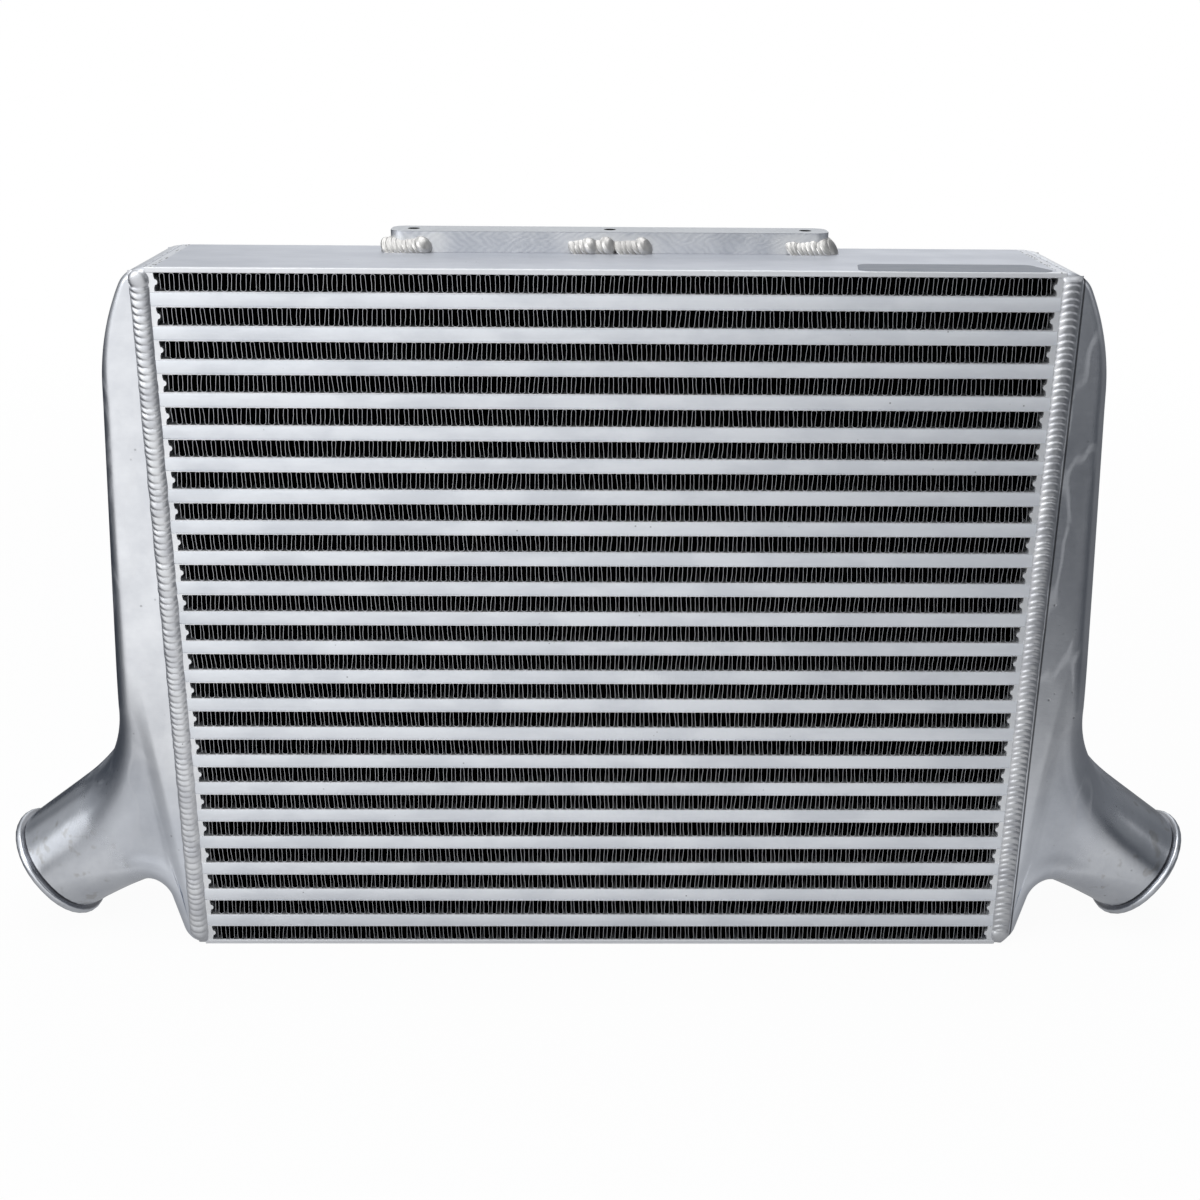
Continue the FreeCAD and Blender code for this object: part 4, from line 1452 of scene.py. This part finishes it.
@dataclass
class FoilLabel:
    """Thin bare foil stuck on the top plate near its front right corner."""

    left: float = 137.0
    right: float = 247.0
    front: float = -44.2
    rear: float = -17.5
    skew: float = 9.0
    corner: float = 7.0
    sunk: float = 0.02
    thickness: float = 0.12

    def build(self) -> None:
        """Make the label."""
        round_off = self.corner
        corners = ((self.left, self.front, 180, 1, 1),
                   (self.right - self.skew * 0.4, self.front, 270, -1, 1),
                   (self.right - self.skew, self.rear, 0, -1, -1),
                   (self.left + self.skew * 0.2, self.rear, 90, 1, -1))
        outline = []
        for x, y, start, inward_x, inward_y in corners:
            centre = np.array([x + inward_x * round_off, y + inward_y * round_off])
            angles = np.linspace(start, start + 90, 7)
            outline += [centre + round_off * heading(angle) for angle in angles]
        flat = np.array(outline)
        shape = Shape()
        levels = (CORE_HEIGHT - self.sunk, CORE_HEIGHT + self.thickness)
        rings = [np.column_stack([flat, np.full(len(flat), level)]) for level in levels]
        shape.grid(np.stack(rings), wrap=True)
        shape.faces.append((np.arange(len(flat)) + len(flat))[None])
        shape.piece("foil_label", FOIL_FINISH)


# Studio


@dataclass(frozen=True)
class Lamp:
    """One soft area lamp."""

    name: str
    place: Triple
    aim: Triple
    size: Pair
    power: float

    def build(self) -> None:
        """Hang the lamp."""
        data = bpy.data.lights.new(self.name, "AREA")
        data.shape = "RECTANGLE"
        data.size, data.size_y = self.size
        data.energy = self.power
        lamp = bpy.data.objects.new(self.name, data)
        lamp.location = self.place
        way = Vector(self.aim) - Vector(self.place)
        lamp.rotation_euler = way.to_track_quat("-Z", "Y").to_euler()
        lamp.visible_camera = False
        bpy.context.collection.objects.link(lamp)


@dataclass
class Studio:
    """Camera, floor, lamps and surroundings."""

    focal: float = 1570.8
    picture: float = 1200.0
    sensor: float = 36.0
    pitch: float = 20.43
    yaw: float = 0.82
    roll: float = 0.48
    eye: Triple = (-0.0148, -0.9023, 0.5521)
    floor_half: float = 8.0
    floor_drop: float = 0.0002
    lamps: tuple[Lamp, ...] = (
        Lamp("key_left", (-1.5, -1.5, 1.5), (0.0, 0.0, 0.2), (1.4, 1.4), 14.0),
        Lamp("overhead", (0.1, 0.0, 2.2), (0.0, 0.0, 0.3), (1.8, 1.4), 10.0),
        Lamp("fill_right", (1.9, -1.0, 1.2), (0.1, 0.0, 0.2), (1.2, 1.2), 2.0),
        Lamp("rear", (0.2, 2.1, 1.2), (0.0, 0.0, 0.2), (1.8, 1.0), 3.0),
    )

    def build(self) -> None:
        """Make all of it."""
        self.camera()
        self.floor()
        self.surroundings()
        for lamp in self.lamps:
            lamp.build()
        bpy.context.scene.view_settings.view_transform = "Standard"

    def camera(self) -> None:
        """Camera at the picture's viewpoint; focal and picture are in pixels."""
        pitch, yaw, roll = (math.radians(angle) for angle in (self.pitch, self.yaw, self.roll))
        ahead = Vector((math.sin(yaw) * math.cos(pitch), math.cos(yaw) * math.cos(pitch),
                        -math.sin(pitch)))
        level = Vector((math.cos(yaw), -math.sin(yaw), 0.0))
        over = level.cross(ahead)
        right = level * math.cos(roll) + over * math.sin(roll)
        up = over * math.cos(roll) - level * math.sin(roll)
        data = bpy.data.cameras.new("camera")
        data.sensor_width = self.sensor
        data.lens = self.focal / self.picture * self.sensor
        data.clip_start, data.clip_end = 0.01, 50.0
        eye = bpy.data.objects.new("camera", data)
        turn = Matrix((right, up, -ahead)).transposed().to_4x4()
        eye.matrix_world = Matrix.Translation(Vector(self.eye)) @ turn
        bpy.context.collection.objects.link(eye)
        bpy.context.scene.camera = eye

    def floor(self) -> None:
        """Pale floor under the object."""
        mesh = bpy.data.meshes.new("floor")
        half = self.floor_half
        corners = [(-half, -half, 0), (half, -half, 0), (half, half, 0), (-half, half, 0)]
        mesh.from_pydata(corners, [], [(0, 1, 2, 3)])
        mesh.materials.append(FLOOR_FINISH.material())
        floor = bpy.data.objects.new("floor", mesh)
        floor.location.z = -self.floor_drop
        bpy.context.collection.objects.link(floor)

    def surroundings(self) -> None:
        """White to the camera; to the rest, soft light that falls off from left to right."""
        world = bpy.data.worlds.new("studio")
        bpy.context.scene.world = world
        world.use_nodes = True
        graph = Graph(world.node_tree)
        across, along, up = graph.axes(graph.add("ShaderNodeTexCoord", output="Generated"))
        sideways = across.ramp(-0.15, 0.55, 0.95, 0.16)
        behind = along.ramp(0.15, 0.60)
        rear = abs(across).ramp(0.38, 0.68, 0.60, 0.20)
        above = up.ramp(0.70, 0.95) * 0.7
        hood = across.fall(-0.87, -0.76) * along.ramp(-0.42, -0.16)
        level = (sideways * (1.0 - behind) + rear * behind) * (1.0 - hood * 0.62)
        level = level * (1.0 - above) + above * 0.85
        rays = graph.add("ShaderNodeLightPath", output="Is Camera Ray")
        seen = rays.most(rays.other("Is Transmission Ray"))
        dark, sky, white = (
            graph.add("ShaderNodeBackground", {}, {"Color": colour, "Strength": strength})
            for colour, strength in ((BLUE, BLUE_STRENGTH), (SKY, 1.0), (WHITE, 1.0)))
        mixed = graph.blend(seen, graph.blend(level, dark, sky), white)
        graph.add("ShaderNodeOutputWorld", {}, {"Surface": mixed})


def main() -> None:
    """Build the studio and the object, piece by piece."""
    logging.basicConfig(level=logging.INFO, format="%(message)s")
    Studio().build()
    Core().build()
    for side in Side:
        EndTank(side).build()
    Welds().build()
    MountingBar().build()
    FoilLabel().build()


if __name__ == "__main__":
    main()
